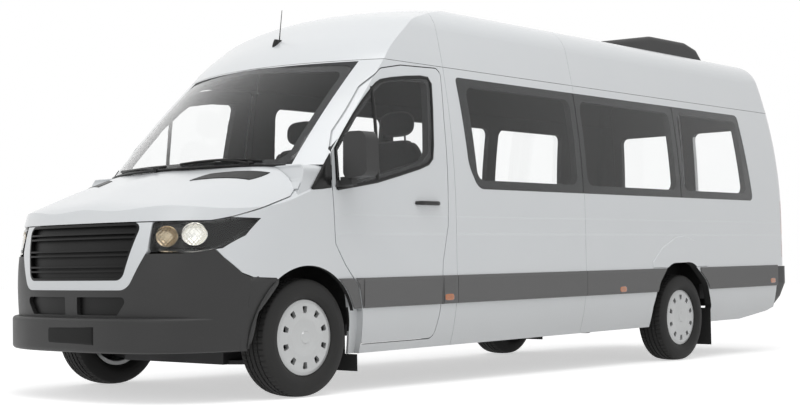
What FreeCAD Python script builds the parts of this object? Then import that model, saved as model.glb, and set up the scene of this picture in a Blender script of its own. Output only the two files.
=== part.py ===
import FreeCAD, Part
import math
import os

os.makedirs("parts", exist_ok=True)
V = FreeCAD.Vector
doc = FreeCAD.newDocument("Minibus")

# Driving dimensions, in millimetres and degrees.
# The body is drawn level in its own frame and then set nose down by the rake.
# +X is the driver's side, -Y the front, +Z up; the drawing's origin is on the ground in the
# centre plane at mid length, and the placements move it to the middle of the overall width.
SIZES = {
    "side_shift": (119.5, "centre plane to the middle of the width over the mirror"),
    "rake": (0.836, "nose-down rake of the body on its wheels, degrees"),
    "front_axle": (-2679.5, "front axle line along Y"),
    "wheelbase": (4325.0, "front axle to rear axle"),
    "rear_face": (3500.0, "rear face of the body"),
    "half_width": (1000.0, "half width of the body at the waist"),
    "waist_low": (700.0, "height where the side turns in towards the sill"),
    "waist_high": (1070.0, "height where the side starts to lean in"),
    "sill_radius": (1350.0, "radius of the side below the waist"),
    "side_radius": (5600.0, "radius of the side above the waist"),
    "shoulder_radius": (238.0, "radius between side and roof"),
    "crown_radius": (2700.0, "radius of the roof across the body"),
    "roof_z": (2606.0, "height of the roof on the centre line"),
    "corner_radius": (130.0, "radius round the rear face"),
    "taper_y": (-2650.0, "where the plan of the nose starts to close"),
    "cowl_z": (1392.0, "height of the foot of the windscreen"),
    "header_z": (2092.0, "height of the head of the windscreen"),
    "floor_z": (620.0, "top of the passenger floor"),
    "floor_thick": (40.0, "floor panel with its ribs"),
    "cab_floor_z": (480.0, "top of the cab floor"),
    "wall": (55.0, "thickness of a body side or door"),
    "skin": (25.0, "thickness of bonnet and fenders with their inner panels"),
    "glass": (5.0, "thickness of a pane"),
    "seat_gap": (0.3, "clearance between a pane or trim and its seat"),
    "shut_gap": (6.5, "gap round a door or lid"),
    "seam_gap": (3.0, "gap between two fixed panels"),
    "pane_gap": (4.0, "joint between two fixed panes"),
    "cab_seam": (-1309.0, "seam between cab side and body side"),
    "mid_seam": (209.0, "seam in the middle of the body side"),
    "belt_z": (1285.0, "lower edge of the side glass"),
    "glass_top": (2027.0, "upper edge of the side glass"),
    "gutter_z": (2085.0, "seam between side and roof"),
    "sill_z": (263.0, "underside of the sill"),
    "strip_low": (535.0, "lower edge of the rub strip"),
    "strip_high": (720.0, "upper edge of the rub strip"),
    "strip_proud": (10.0, "how far the rub strip stands out"),
    "track": (1710.0, "between the tyre centre planes of one axle"),
    "tyre_radius": (345.0, "radius of a tyre as it stands"),
    "tyre_width": (235.0, "section width of a tyre"),
    "rim_radius": (204.0, "radius of the wheel under the tyre beads"),
    "hub_z": (345.0, "height of the wheel centres"),
    "front_arch_radius": (415.0, "radius of the front wheel arch"),
    "door_hinge_y": (-2450.0, "front door hinge axis"),
    "hinge_x": (1003.0, "front door hinge axis from the centre line"),
}
sheet = doc.addObject("Spreadsheet::Sheet", "Sizes")
for row, (alias, (value, meaning)) in enumerate(SIZES.items(), start=1):
    sheet.set("A%d" % row, meaning)
    sheet.set("B%d" % row, str(value))
    sheet.setAlias("B%d" % row, alias)
doc.recompute()


class Cells:
    """Reads a driving dimension by its name."""

    def __getattr__(self, alias):
        return float(sheet.get(alias))


D = Cells()
REAR_AXLE = D.front_axle + D.wheelbase
TURN = FreeCAD.Placement(V(0, 0, 0), FreeCAD.Rotation(V(1, 0, 0), D.rake))
RAKED = FreeCAD.Placement(V(-D.side_shift, 0, 0), TURN.Rotation)
LEVEL = FreeCAD.Placement(V(-D.side_shift, 0, 0), FreeCAD.Rotation())
FAR = 1200.0
NODES = []


# Outlines and prisms

def outline(corners):
    """Closed flat outline as a list of edges in 2-D; a corner is (u, v) or (u, v, radius)."""
    count = len(corners)
    starts = []
    for i, corner in enumerate(corners):
        u, v = corner[0], corner[1]
        radius = corner[2] if len(corner) > 2 else 0.0
        if radius <= 0:
            starts.append(((u, v), (u, v), None))
            continue
        pu, pv = corners[i - 1][0] - u, corners[i - 1][1] - v
        nu, nv = corners[(i + 1) % count][0] - u, corners[(i + 1) % count][1] - v
        pl, nl = math.hypot(pu, pv), math.hypot(nu, nv)
        pu, pv, nu, nv = pu / pl, pv / pl, nu / nl, nv / nl
        half = math.acos(max(-1, min(1, pu * nu + pv * nv))) / 2
        back = radius / math.tan(half)
        bu, bv = pu + nu, pv + nv
        bl = math.hypot(bu, bv)
        reach = radius / math.sin(half) - radius
        middle = (u + bu / bl * reach, v + bv / bl * reach)
        starts.append(((u + pu * back, v + pv * back), (u + nu * back, v + nv * back), middle))
    return starts


def wire(corners, place):
    """Wire of an outline; place turns (u, v) into a point."""
    arcs = outline(corners)
    edges = []
    for i, (enter, leave, middle) in enumerate(arcs):
        if middle is not None:
            edges.append(Part.Arc(place(*enter), place(*middle), place(*leave)).toShape())
        following = arcs[(i + 1) % len(arcs)][0]
        if math.hypot(following[0] - leave[0], following[1] - leave[1]) > 1e-6:
            edges.append(Part.LineSegment(place(*leave), place(*following)).toShape())
    return Part.Wire(edges)


def side_prism(corners, x0, x1):
    """Outline seen from the side, (y, z), carried from x0 to x1."""
    face = Part.Face(wire(corners, lambda y, z: V(x0, y, z)))
    return face.extrude(V(x1 - x0, 0, 0))


def front_prism(corners, y0, y1):
    """Outline seen from the front, (x, z), carried from y0 to y1."""
    face = Part.Face(wire(corners, lambda x, z: V(x, y0, z)))
    return face.extrude(V(0, y1 - y0, 0))


def plan_prism(corners, z0, z1):
    """Outline seen from above, (x, y), carried from z0 to z1."""
    face = Part.Face(wire(corners, lambda x, y: V(x, y, z0)))
    return face.extrude(V(0, 0, z1 - z0))


def block(x0, x1, y0, y1, z0, z1):
    """Box between two corners."""
    return Part.makeBox(x1 - x0, y1 - y0, z1 - z0, V(x0, y0, z0))


def rod(start, end, radius):
    """Round bar from start to end."""
    start, end = V(*start), V(*end)
    return Part.makeCylinder(radius, (end - start).Length, start, end - start)


def mirror(shape):
    """The same piece on the other side of the vehicle."""
    return shape.mirror(V(0, 0, 0), V(1, 0, 0))


def join(shapes):
    """One shape from several that touch or overlap."""
    first = shapes[0]
    return first.fuse(list(shapes[1:])).removeSplitter() if len(shapes) > 1 else first


def together(shapes):
    """Pieces that share a node without touching."""
    return Part.makeCompound([solid for shape in shapes for solid in shape.Solids])


def node(name, shape, placement):
    """Adds one sub-part to the document."""
    part = doc.addObject("Part::Feature", name)
    part.Label = name
    part.Shape = shape
    part.Placement = placement
    NODES.append(part)
    return part


# Hull of the body

def smooth(points, first=None, last=None):
    """Smooth edge through points, leaving and arriving along two directions when given."""
    bend = Part.BSplineCurve()
    points = [V(*p) for p in points]
    if first is None:
        bend.interpolate(Points=points)
    else:
        bend.interpolate(Points=points, InitialTangent=V(*first), FinalTangent=V(*last))
    return bend.toShape()


def line(a, b):
    """Straight edge."""
    return Part.LineSegment(V(*a), V(*b)).toShape()


def arc_about(centre, radius, a, b, y):
    """Arc in a cross-section, from direction a to direction b, both in radians above +X."""

    def at(angle):
        return V(centre[0] + radius * math.cos(angle), y, centre[1] + radius * math.sin(angle))

    return Part.Arc(at(a), at((a + b) / 2), at(b)).toShape()


def shoulder_centre():
    """Centre of the shoulder arc, tangent to the side arc and to the roof arc."""
    side = (D.half_width - D.side_radius, D.waist_high)
    crown = (0.0, D.roof_z - D.crown_radius)
    reach_side = D.side_radius - D.shoulder_radius
    reach_crown = D.crown_radius - D.shoulder_radius
    dx, dz = side[0] - crown[0], side[1] - crown[1]
    span = math.hypot(dx, dz)
    along = (reach_crown ** 2 - reach_side ** 2 + span ** 2) / (2 * span)
    across = math.sqrt(reach_crown ** 2 - along ** 2)
    return (crown[0] + (along * dx + across * dz) / span, crown[1] + (along * dz - across * dx) / span)


def side_x(z):
    """Half width of the body side at a height."""
    if z < D.waist_low:
        return D.half_width - D.sill_radius + math.sqrt(D.sill_radius ** 2 - (D.waist_low - z) ** 2)
    if z < D.waist_high:
        return D.half_width
    return D.half_width - D.side_radius + math.sqrt(D.side_radius ** 2 - (z - D.waist_high) ** 2)


def section(y, inset):
    """Closed cross-section of the body at y, drawn in by the wall inset."""
    low = 200.0 - inset
    x = D.half_width - inset
    sill_c = (D.half_width - D.sill_radius, D.waist_low)
    sill_r = D.sill_radius - inset
    side_c = (D.half_width - D.side_radius, D.waist_high)
    side_r = D.side_radius - inset
    turn_c = shoulder_centre()
    turn_r = D.shoulder_radius - inset
    crown_c = (0.0, D.roof_z - D.crown_radius)
    crown_r = D.crown_radius - inset
    lowest = math.asin((low - sill_c[1]) / sill_r)
    lean = math.atan2(turn_c[1] - side_c[1], turn_c[0] - side_c[0])
    edge = math.atan2(turn_c[1] - crown_c[1], turn_c[0] - crown_c[0])
    right = [arc_about(sill_c, sill_r, lowest, 0, y),
             line((x, y, D.waist_low), (x, y, D.waist_high)),
             arc_about(side_c, side_r, 0, lean, y),
             arc_about(turn_c, turn_r, lean, edge, y)]
    left = [edge_.mirror(V(0, 0, 0), V(1, 0, 0)) for edge_ in right]
    foot = sill_c[0] + sill_r * math.cos(lowest)
    return Part.Wire(Part.__sortEdges__(right + left + [
        arc_about(crown_c, crown_r, edge, math.pi - edge, y), line((-foot, y, low), (foot, y, low))]))


# Profile of the windscreen and of the roof cap: (y, z) on the centre line and how far the
# same height has moved back one metre from it, in millimetres.
SCREEN_LINE = [(-2900, D.cowl_z, 370), (-2535, 1748, 340), (-2150, D.header_z, 320)]
CAP_LINE = [(-2150, D.header_z, 320), (-2108, 2135, 320), (-1971, 2250, 300), (-1823, 2347, 260),
            (-1680, 2430, 210), (-1500, 2492, 170), (-1309, 2530, 140), (-1090, 2560, 120),
            (-700, 2594, 80), (-290, 2622, 40)]


def inward(points, inset):
    """A profile moved inwards by the inset, square to itself."""
    moved = []
    for i, (y, z) in enumerate(points):
        y0, z0 = points[max(i - 1, 0)]
        y1, z1 = points[min(i + 1, len(points) - 1)]
        run = math.hypot(y1 - y0, z1 - z0)
        moved.append((y + inset * (z1 - z0) / run, z - inset * (y1 - y0) / run))
    return moved


def upper_profile(x, inset):
    """Profile of screen and cap at a distance x from the centre line."""
    share = (x / 1000.0) ** 2

    def sweep(points):
        """Moves each height back by its bow; the cap also falls away towards the sides."""
        return [(y + bow * share, z - 90 * share * max(0.0, min(1.0, (y + 2100) / 600.0))) for y, z, bow in points]

    screen = inward(sweep(SCREEN_LINE), inset)
    cap = inward(sweep(CAP_LINE), inset)
    corner = ((screen[-1][0] + cap[0][0]) / 2, (screen[-1][1] + cap[0][1]) / 2)
    screen[-1] = cap[0] = corner
    foot, back = 100.0, NOSE_END

    def place(points):
        return [(x, y, z) for y, z in points]

    cap[-1] = (back, cap[-1][1])
    return Part.Wire([line((x, screen[0][0], foot), (x, screen[0][0], screen[0][1])),
                      smooth(place(screen)), smooth(place(cap)),
                      line((x, back, cap[-1][1]), (x, back, foot)),
                      line((x, back, foot), (x, screen[0][0], foot))])


NOSE_END = -290.0
# Plan of the lower nose: height and how far the front stands ahead of the taper line
NOSE_PLAN = [(150, 935), (500, 960), (800, 957), (1000, 920), (1200, 840), (1500, 660)]
# Profile of the bonnet on the centre line
BONNET_LINE = [(-3760, 820), (-3640, 990), (-3560, 1098), (-3480, 1172), (-3380, 1218), (-3240, 1272),
               (-3070, 1335), (-2900, 1392), (-2650, 1480), (-2300, 1600)]
# Stations across the bonnet, closer together where its edge turns down
BONNET_STATIONS = (-1100, -950, -800, -500, 0, 500, 800, 950, 1100)


def nose_plan(z, ahead, inset):
    """Plan of the nose at a height: straight sides closed by a cubic superellipse."""
    wide = side_x(z) - inset
    deep = ahead - inset
    points = []
    for i in range(11):
        angle = math.pi * i / 10
        c, s = math.cos(angle), math.sin(angle)
        reach = 1 / ((abs(c) / wide) ** 3 + (abs(s) / deep) ** 3) ** (1 / 3.0)
        points.append((reach * c, D.taper_y - reach * s, z))
    return Part.Wire([smooth(points, (0, -1, 0), (0, 1, 0)),
                      line((-wide, D.taper_y, z), (-wide, -2300, z)),
                      line((-wide, -2300, z), (wide, -2300, z)),
                      line((wide, -2300, z), (wide, D.taper_y, z))])


def bonnet_profile(x, inset):
    """Profile of the bonnet at a distance x from the centre line, closed below."""
    fall = 120 * (x / 1000.0) ** 2 + 130 * (x / 1000.0) ** 8
    top = inward([(y, z - fall) for y, z in BONNET_LINE], inset)
    edge = smooth([(x, y, z) for y, z in top])
    return Part.Wire([edge, line((x,) + top[-1], (x, top[-1][0], 50)),
                      line((x, top[-1][0], 50), (x, top[0][0], 50)), line((x, top[0][0], 50), (x,) + top[0])])


def rounded(solid, radius, pick):
    """The solid with the edges that pick chooses rounded."""
    return solid.makeFillet(radius, [edge for edge in solid.Edges if pick(edge)])


def body_volume(inset):
    """Outer volume of the body, or its inside when inset is the wall thickness: nose, cab and cabin."""
    plans = Part.makeLoft([nose_plan(z, ahead, inset) for z, ahead in NOSE_PLAN], True, False)
    lid = Part.makeLoft([bonnet_profile(x, inset) for x in BONNET_STATIONS], True, False)
    rise = [(-2757, 1247), (-2722, 1309), (-2704, 1389), (-2290, 1389), (-2290, 60), (-2757, 60)]
    rise = [(y + (inset if y < -2300 else 0), z - (inset if z > 100 else 0)) for y, z in rise]
    top = 1389 - inset
    horns = front_prism([(-990, 0), (-990, top, 50), (990, top, 50), (990, 0)], -2900, -2200)
    nose = plans.common(lid.fuse(side_prism(rise, -FAR, FAR).common(horns)))
    upper = Part.makeLoft([upper_profile(x, inset) for x in (-1100, -550, 0, 550, 1100)], True, False)
    prism = Part.Face(section(-3000, inset)).extrude(V(0, 3000 + NOSE_END, 0))
    cab = upper.common(prism)
    back = D.rear_face - inset
    rear = Part.makeCylinder(5000 - inset, 2400, V(-1200, D.rear_face - 5000, 1250), V(1, 0, 0))
    box = rear.common(block(-FAR, FAR, NOSE_END, 3600, 1250, 2700))
    box = box.fuse(block(-FAR, FAR, NOSE_END, back, 100, 1250)).removeSplitter()
    cabin = Part.Face(section(NOSE_END, inset)).extrude(V(0, 4200, 0)).common(box)
    return nose, cab, rounded(cabin, D.corner_radius - inset, at_the_rear)


def at_the_rear(edge):
    """True for an edge of the rear face above the sill."""
    low, high = edge.BoundBox.YMin, edge.BoundBox.ZMin
    return low > 3100 and edge.BoundBox.ZMax > 260 and (edge.BoundBox.YLength > 0.1 or edge.BoundBox.ZLength > 1
                                                        or edge.BoundBox.ZMin > 2000)


NOSE, CAB, CABIN = 0, 1, 2
OUTER = body_volume(0)
WALL_IN = body_volume(D.wall)
SKIN_IN = body_volume(D.skin)
GLASS_IN = body_volume(D.glass)
SEAT_IN = body_volume(D.glass + D.seat_gap)


def shell(zone, inside):
    """Wall between the outer surface and an inside volume, in one zone."""
    return OUTER[zone].cut(inside[zone])


def rim(corners, gap):
    """The same outline grown outwards by a gap, as a wire maker's corner list."""
    area = sum(a[0] * b[1] - b[0] * a[1] for a, b in zip(corners, corners[1:] + corners[:1]))
    sign = 1 if area > 0 else -1
    count = len(corners)
    grown = []
    for i, corner in enumerate(corners):
        before, after = corners[i - 1], corners[(i + 1) % count]
        d0 = (corner[0] - before[0], corner[1] - before[1])
        d1 = (after[0] - corner[0], after[1] - corner[1])
        l0, l1 = math.hypot(*d0), math.hypot(*d1)
        n0 = (sign * d0[1] / l0, -sign * d0[0] / l0)
        n1 = (sign * d1[1] / l1, -sign * d1[0] / l1)
        dot = n0[0] * n1[0] + n0[1] * n1[1]
        mu, mv = (n0[0] + n1[0]) / (1 + dot), (n0[1] + n1[1]) / (1 + dot)
        point = [corner[0] + mu * gap, corner[1] + mv * gap]
        if len(corner) > 2:
            turn = d0[0] * d1[1] - d0[1] * d1[0]
            grows = gap if turn * sign > 0 else -gap
            point.append(max(corner[2] + grows, 0.5))
        grown.append(tuple(point))
    return grown


wall_cab = shell(CAB, WALL_IN)
wall_cabin = shell(CABIN, WALL_IN)
wall_nose = shell(NOSE, WALL_IN)
nose_skin = shell(NOSE, SKIN_IN)
glass_cab = shell(CAB, GLASS_IN)
glass_cabin = shell(CABIN, GLASS_IN)
rebate_cab = shell(CAB, SEAT_IN)
rebate_cabin = shell(CABIN, SEAT_IN)

# Side-view outlines, (y, z, corner radius), and front-view outlines, (x, z, corner radius)
DOOR = [(-2465, 1484), (-2472, 1282), (-2464, 1127), (-2454, 926, 60), (-2370, 800), (-2260, 677, 60),
        (-2216, 520, 40), (-2190, 322, 25), (-1509, 322, 60), (-1478, 470), (-1455, 805, 90),
        (-1397, 1040), (-1383, 1400), (-1374, 1740), (-1346, 2068, 50), (-1742, 2055), (-1940, 2018, 60),
        (-2111, 1890), (-2259, 1733), (-2389, 1598)]
DOOR_PANE = [(-2440, 1245), (-2440, 1490), (-2249, 1706), (-2048, 1892, 60), (-1962, 1950, 60),
             (-1700, 1990), (-1538, 2004, 60), (-1455, 2000, 40), (-1520, 1480, 60), (-1600, 1420, 60),
             (-2076, 1304)]
DOOR_WINDOW = [(-2405, 1290, 20), (-2410, 1480), (-2230, 1680), (-2020, 1868, 40), (-1940, 1925, 40),
               (-1700, 1962), (-1500, 1970, 40), (-1560, 1500, 50), (-1630, 1445, 60), (-2076, 1340)]
SIDE_BAND = [(-1196, 2027, 30), (-1150, 1440, 260), (-1060, 1285, 110), (2868, 1285, 50),
             (2745, 2027, 60)]
SCREEN = [(-826, 1396, 60), (0, 1396), (826, 1396, 60), (772, 2045, 70), (0, 2084), (-772, 2045, 70)]
SCREEN_HOLE = [(-775, 1430, 60), (0, 1430), (775, 1430, 60), (725, 2005, 60), (0, 2045), (-725, 2005, 60)]
SLIDING = [(-1306, 322, 30), (206, 322, 30), (206, 2076, 30), (-1306, 2076, 30)]
BONNET = [(-3800, 1062), (-3300, 1062), (-3190, 1085), (-3040, 1128), (-2809, 1201), (-2757, 1240, 20),
          (-2724, 1309), (-2704, 1388), (-3800, 1388)]
FENDER = [(-2937, 735), (-3089, 743), (-3158, 769), (-3255, 856), (-3302, 914), (-3240, 990),
          (-3187, 1079), (-3040, 1121), (-2809, 1195), (-2752, 1234), (-2718, 1305), (-2698, 1388),
          (-2478, 1388), (-2479, 1258), (-2470, 1127), (-2461, 926, 60), (-2377, 798), (-2266, 674, 60),
          (-2223, 520, 40), (-2197, 322), (-2190, 263), (-2314, 263)]
BUMPER = [(-3800, 330), (-3080, 330), (-3110, 420), (-3095, 739), (-3158, 764), (-3255, 851), (-3302, 905),
          (-3420, 880), (-3800, 880)]
GRILLE = [(-429, 735, 60), (429, 735, 60), (520, 1056, 40), (-520, 1056, 40)]
SURROUND = [(-464, 681, 90), (464, 681, 90), (581, 900), (581, 1056), (-581, 1056), (-581, 900)]
INTAKE = [(55, 540, 10), (390, 540, 25), (475, 642, 25), (55, 642, 10)]
LAMP = [(585, 1056, 15), (595, 893, 20), (800, 884, 40), (900, 905), (950, 975), (972, 1072), (915, 1078),
        (860, 1058)]
LAMP_GAP = rim(LAMP, D.seat_gap)

# Outline of the raised arch over a rear wheel, above the rub strip
FLARE = [(1148, 724), (1148, 772), (1293, 884), (1501, 967), (1626, 977), (1838, 935), (1964, 827), (2012, 740),
         (2012, 724)]
FLARE_PROUD = 7.0

# Roof, front cap and body sides
seam = D.seam_gap / 2
grooves = rebate_cabin.common(block(-FAR, FAR, D.mid_seam - seam, D.mid_seam + seam, 0, 2800))
above = block(-FAR, FAR, -4000, 4000, D.gutter_z + seam, 2800)
roof = wall_cabin.fuse(wall_cab.common(block(-FAR, FAR, D.cab_seam + seam, 0, 0, 2800)))
rear_opening = front_prism([(-790, 715, 30), (790, 715, 30), (740, 2290, 90), (-740, 2290, 90)], 3200, 3700)
node("roof_panel", roof.common(above).cut([rear_opening, grooves]), RAKED)
node("roof_cap", wall_cab.common(above).common(block(-FAR, FAR, -4000, D.cab_seam - seam, 0, 2800)), RAKED)
side = roof.common(block(0, FAR, -4000, 4000, 0, D.gutter_z - seam))
pane_splits = [D.mid_seam - 9, 1625.0]
windows = []
edges = [-1120] + pane_splits + [2820]
for first, last in zip(edges, edges[1:]):
    low, high = D.belt_z + 60, D.glass_top - 55
    lean = -45 if first == edges[0] else 0
    back_lean = -60 if last == edges[-1] else 0
    windows.append(side_prism([(first + 65, low, 70), (last - 65, low, 70), (last - 65 + back_lean, high, 70),
                               (first + 65 + lean, high, 70)], 600, FAR))
arch_rear = [(1190, 150), (1190, 420), (1240, 600, 130), (1400, 760, 240), (1780, 765, 260),
             (2010, 600, 200), (2130, 400, 60), (2150, 150)]
band = side_prism(rim(SIDE_BAND, D.seat_gap), 600, FAR)
flare = side_prism(FLARE, D.half_width - 2, D.half_width + FLARE_PROUD)
flare = flare.makeChamfer(FLARE_PROUD - 1.5, [edge for edge in flare.Edges if edge.BoundBox.XMin > D.half_width])
rising_sill = side_prism([(2500, 200), (3600, 200), (3600, 400), (3291, 347), (3174, 316), (2694, D.sill_z)], 0, FAR)
side = side.fuse(flare)
lamp_zone = [(845, 790, 30), (1100, 790), (1100, 1290), (845, 1290, 60)]
side = side.cut([band.common(rebate_cabin), band.common(rebate_cab), side_prism(arch_rear, 600, FAR), rear_opening,
                 block(0, FAR, D.cab_seam, 3600, 0, D.sill_z), block(0, FAR, 3292, 3600, 0, 712), grooves, rising_sill,
                 front_prism(rim(lamp_zone, D.seat_gap), 3385, 3600)] + windows)
node("body_side_left", side, RAKED)
node("sliding_door", mirror(side.common(side_prism(SLIDING, 0, FAR))), RAKED)
node("body_side_right", mirror(side.cut(side_prism(rim(SLIDING, D.seam_gap), 0, FAR))), RAKED)
tail = wall_cabin.common(front_prism(lamp_zone, 3385.3, 3600))
node("tail_lamps", together([tail, mirror(tail)]), RAKED)
strip = glass_cabin.fuse(glass_cab).common(side_prism(SIDE_BAND, 600, FAR))
panes = []
for first, last in zip([-1300] + pane_splits, pane_splits + [3000]):
    panes.append(strip.common(block(0, FAR, first + D.pane_gap / 2, last - D.pane_gap / 2, 1000, 2200)))
node("side_glass", together(panes + [mirror(pane) for pane in panes]), RAKED)

# Cab frame: pillars, header and sills round the doors and the screen
frame = wall_cab.common(block(-FAR, FAR, -2980, D.cab_seam - seam, D.sill_z, D.gutter_z - seam))
under = side_prism([(-3800, 0), (-2185, 0), (-2466, 1262), (-2466, 1392), (-3800, 1392)], -FAR, FAR)
frame = frame.cut([front_prism(SCREEN_HOLE, -3000, -1600), side_prism(rim(DOOR, D.shut_gap), -FAR, FAR), under,
                   front_prism(rim(SCREEN, D.seat_gap), -3000, -1600).common(rebate_cab)])
FENDER_LAP = 15.0
fender_seat = side_prism(rim(FENDER, D.seat_gap), 700, FAR).cut(
    Part.Face(section(-3100, D.skin + FENDER_LAP)).extrude(V(0, 1200, 0)))
frame = frame.cut([fender_seat, mirror(fender_seat)])
node("cab_frame", frame, RAKED)
node("windscreen", glass_cab.common(front_prism(SCREEN, -3000, -1700)), RAKED)

# Front doors
door = wall_cab.common(side_prism(DOOR, 0, FAR))
door = door.cut([side_prism(rim(DOOR_PANE, D.seat_gap), 0, FAR).common(rebate_cab), side_prism(DOOR_WINDOW, 0, FAR)])
pane = glass_cab.common(side_prism(DOOR_PANE, 0, FAR))
for name, turn in [("left", lambda shape: shape), ("right", mirror)]:
    node("front_door_" + name, turn(door), RAKED)
    node("door_glass_" + name, turn(pane), RAKED)

# Nose: bonnet, fenders, bumper, grille and lamps
behind_cowl = Part.makeLoft([upper_profile(x, -D.shut_gap) for x in (-1100, -550, 0, 550, 1100)], True, False)
node("bonnet", nose_skin.common(side_prism(BONNET, -FAR, FAR)).cut(behind_cowl), RAKED)
front_arch = Part.makeCylinder(D.front_arch_radius, 800, V(400, -2690, 384), V(1, 0, 0))
front_arch = front_arch.fuse(side_prism([(-3105, 100), (-2275, 100), (-2275, 384), (-3105, 384)], 400, 1200))
fender = nose_skin.common(side_prism(FENDER, 700, FAR)).cut([front_arch, front_prism(LAMP_GAP, -3900, -3000)])
node("front_fenders", together([fender, mirror(fender)]), RAKED)
node("grille_surround", nose_skin.common(front_prism(SURROUND, -3900, -3300))
     .cut(front_prism(rim(GRILLE, D.seat_gap), -3900, -3200)), RAKED)
foot_bar = Part.Face(nose_plan(332, 1020, -12)).extrude(V(0, 0, 194)).common(block(-FAR, FAR, -3700, -3160, 300, 600))
foot_bar = foot_bar.makeFillet(22, [edge for edge in foot_bar.Edges if edge.BoundBox.ZLength < 1
                                    and edge.BoundBox.XLength > 900 and edge.BoundBox.YLength > 50])
bumper = nose_skin.common(side_prism(BUMPER, -FAR, FAR)).fuse(foot_bar.cut(SKIN_IN[NOSE]))
bumper = bumper.cut([front_arch, mirror(front_arch), front_prism(rim(SURROUND, D.seat_gap), -3900, -3200),
                     front_prism(INTAKE, -3900, -3200), mirror(front_prism(INTAKE, -3900, -3200)),
                     front_prism(LAMP_GAP, -3900, -3000), mirror(front_prism(LAMP_GAP, -3900, -3000))])
node("front_bumper", bumper, RAKED)
deep_skin = SKIN_IN[NOSE].cut(WALL_IN[NOSE])
face_skin = nose_skin.common(front_prism(GRILLE, -3900, -3200))
frame_ring = face_skin.cut(front_prism(rim(GRILLE, -14), -3900, -3200))
slats = []
for z in (988, 890, 800):
    for shift in (-13, 13):
        slats.append(face_skin.common(block(-600, 600, -3900, -3200, z + shift - 5, z + shift + 5)))
grille = deep_skin.common(front_prism(GRILLE, -3900, -3200)).fuse([frame_ring] + slats)
node("grille", grille, RAKED)
vent = deep_skin.common(front_prism([(-500, 520), (500, 520), (500, 655), (-500, 655)], -3900, -3300))
vent.translate(V(0, D.seat_gap, 0))
node("intake_grille", vent, RAKED)
lamp = wall_nose.common(front_prism(LAMP, -3900, -3000))
node("headlamps", together([lamp, mirror(lamp)]), RAKED)

# Rear doors
leaf_line = [(5, 722, 10), (783, 722, 25), (733, 2283, 85), (5, 2283, 10)]
rear_leaf = wall_cabin.common(front_prism(leaf_line, 3200, 3700))
hole = front_prism([(120, 1330, 60), (690, 1330, 60), (660, 1960, 60), (120, 1960, 60)], 3200, 3700)
rear_pane = [(70, 1285, 60), (740, 1285, 60), (715, 2010, 60), (70, 2010, 60)]
rear_leaf = rear_leaf.cut([hole, front_prism(rim(rear_pane, D.seat_gap), 3200, 3700).common(rebate_cabin)])
rear_glass = glass_cabin.common(front_prism(rear_pane, 3200, 3700))
for name, turn in [("left", lambda shape: shape), ("right", mirror)]:
    node("rear_door_" + name, turn(rear_leaf), RAKED)
    node("rear_glass_" + name, turn(rear_glass), RAKED)

# Rub strips
def strip_between(first, last):
    corners = [(1000.3, 537), (1000.3, 719), (1007, 719, 3), (1010, 700), (1008, 560), (1003, 537, 3)]
    return front_prism(corners, first, last)


arch_clear = side_prism(rim(arch_rear, 3), 600, FAR)
fixed = [strip_between(-1452, -1311), strip_between(-1307, 207), strip_between(211, 1500).cut(arch_clear),
         strip_between(1900, 3290).cut(arch_clear)]
node("side_strips", together(fixed + [mirror(q) for q in fixed]), RAKED)
door_strip = strip_between(-2215, -1475)
node("door_strip_left", door_strip, RAKED)
node("door_strip_right", mirror(door_strip), RAKED)

# Floor with the rear wheel housings
floor_low = D.floor_z - D.floor_thick
floor_half = side_x(floor_low) - D.wall - D.seat_gap - 0.4
WELL_HALF = 455.0
PLATE = 8.0
notch = block(692 - D.seat_gap, FAR, REAR_AXLE - WELL_HALF - PLATE - D.seat_gap, REAR_AXLE + WELL_HALF + PLATE + D.seat_gap,
              0, 1000)
slab = block(-floor_half, floor_half, -1300, 3440, floor_low, D.floor_z).cut([notch, mirror(notch)])
housing = block(692, floor_half, REAR_AXLE - WELL_HALF - PLATE, REAR_AXLE + WELL_HALF + PLATE, floor_low, 838)
housing = housing.cut(block(700, 940, REAR_AXLE - WELL_HALF, REAR_AXLE + WELL_HALF, 300, 830))
node("floor", together([slab, housing, mirror(housing)]), RAKED)

# Chassis frame: rails, cross members, spring hangers, jacking pads and the towing eye
frame_top = floor_low - D.seat_gap
cab_frame_top = D.cab_floor_z - D.floor_thick - D.seat_gap
rail = block(420, 490, -1300, D.rear_face, 430, frame_top)
cab_rail = block(420, 490, -3450, -1250, 340, cab_frame_top)
step = block(420, 490, -1300, -1250, 340, frame_top)
crosses = [block(-421, 421, y, y + 60, 450, 560) for y in (-1100, 300, 1000, 2450, 3440)]
crosses += [block(-421, 421, y, y + 60, 360, cab_frame_top) for y in (-3445, -3300, -2920, -2300)]
crosses.append(block(-421, 421, -1730, -1670, 400, cab_frame_top))
rails = rail.fuse([mirror(rail), cab_rail, mirror(cab_rail), step, mirror(step)] + crosses)
LEAF_TOP = 470.0
hangers = []
for y in (REAR_AXLE - 720, REAR_AXLE + 700):
    under = LEAF_TOP - math.tan(math.radians(D.rake)) * (y - 30) + D.seat_gap
    hangers.append(block(489, 600, y - 30, y + 30, under, 560))
pads = [block(425, 485, y - 40, y + 40, 418, 431) for y in (-900, 700)]
eye = side_prism([(3400, 435), (3400, 255, 44), (3490, 255, 44), (3490, 435)], 440, 456)
eye = eye.cut(Part.makeCylinder(20, 60, V(420, 3445, 300), V(1, 0, 0)))
rails = rails.fuse(hangers + [mirror(q) for q in hangers] + pads + [mirror(q) for q in pads] + [eye])
node("chassis_frame", rails.removeSplitter(), RAKED)

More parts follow.
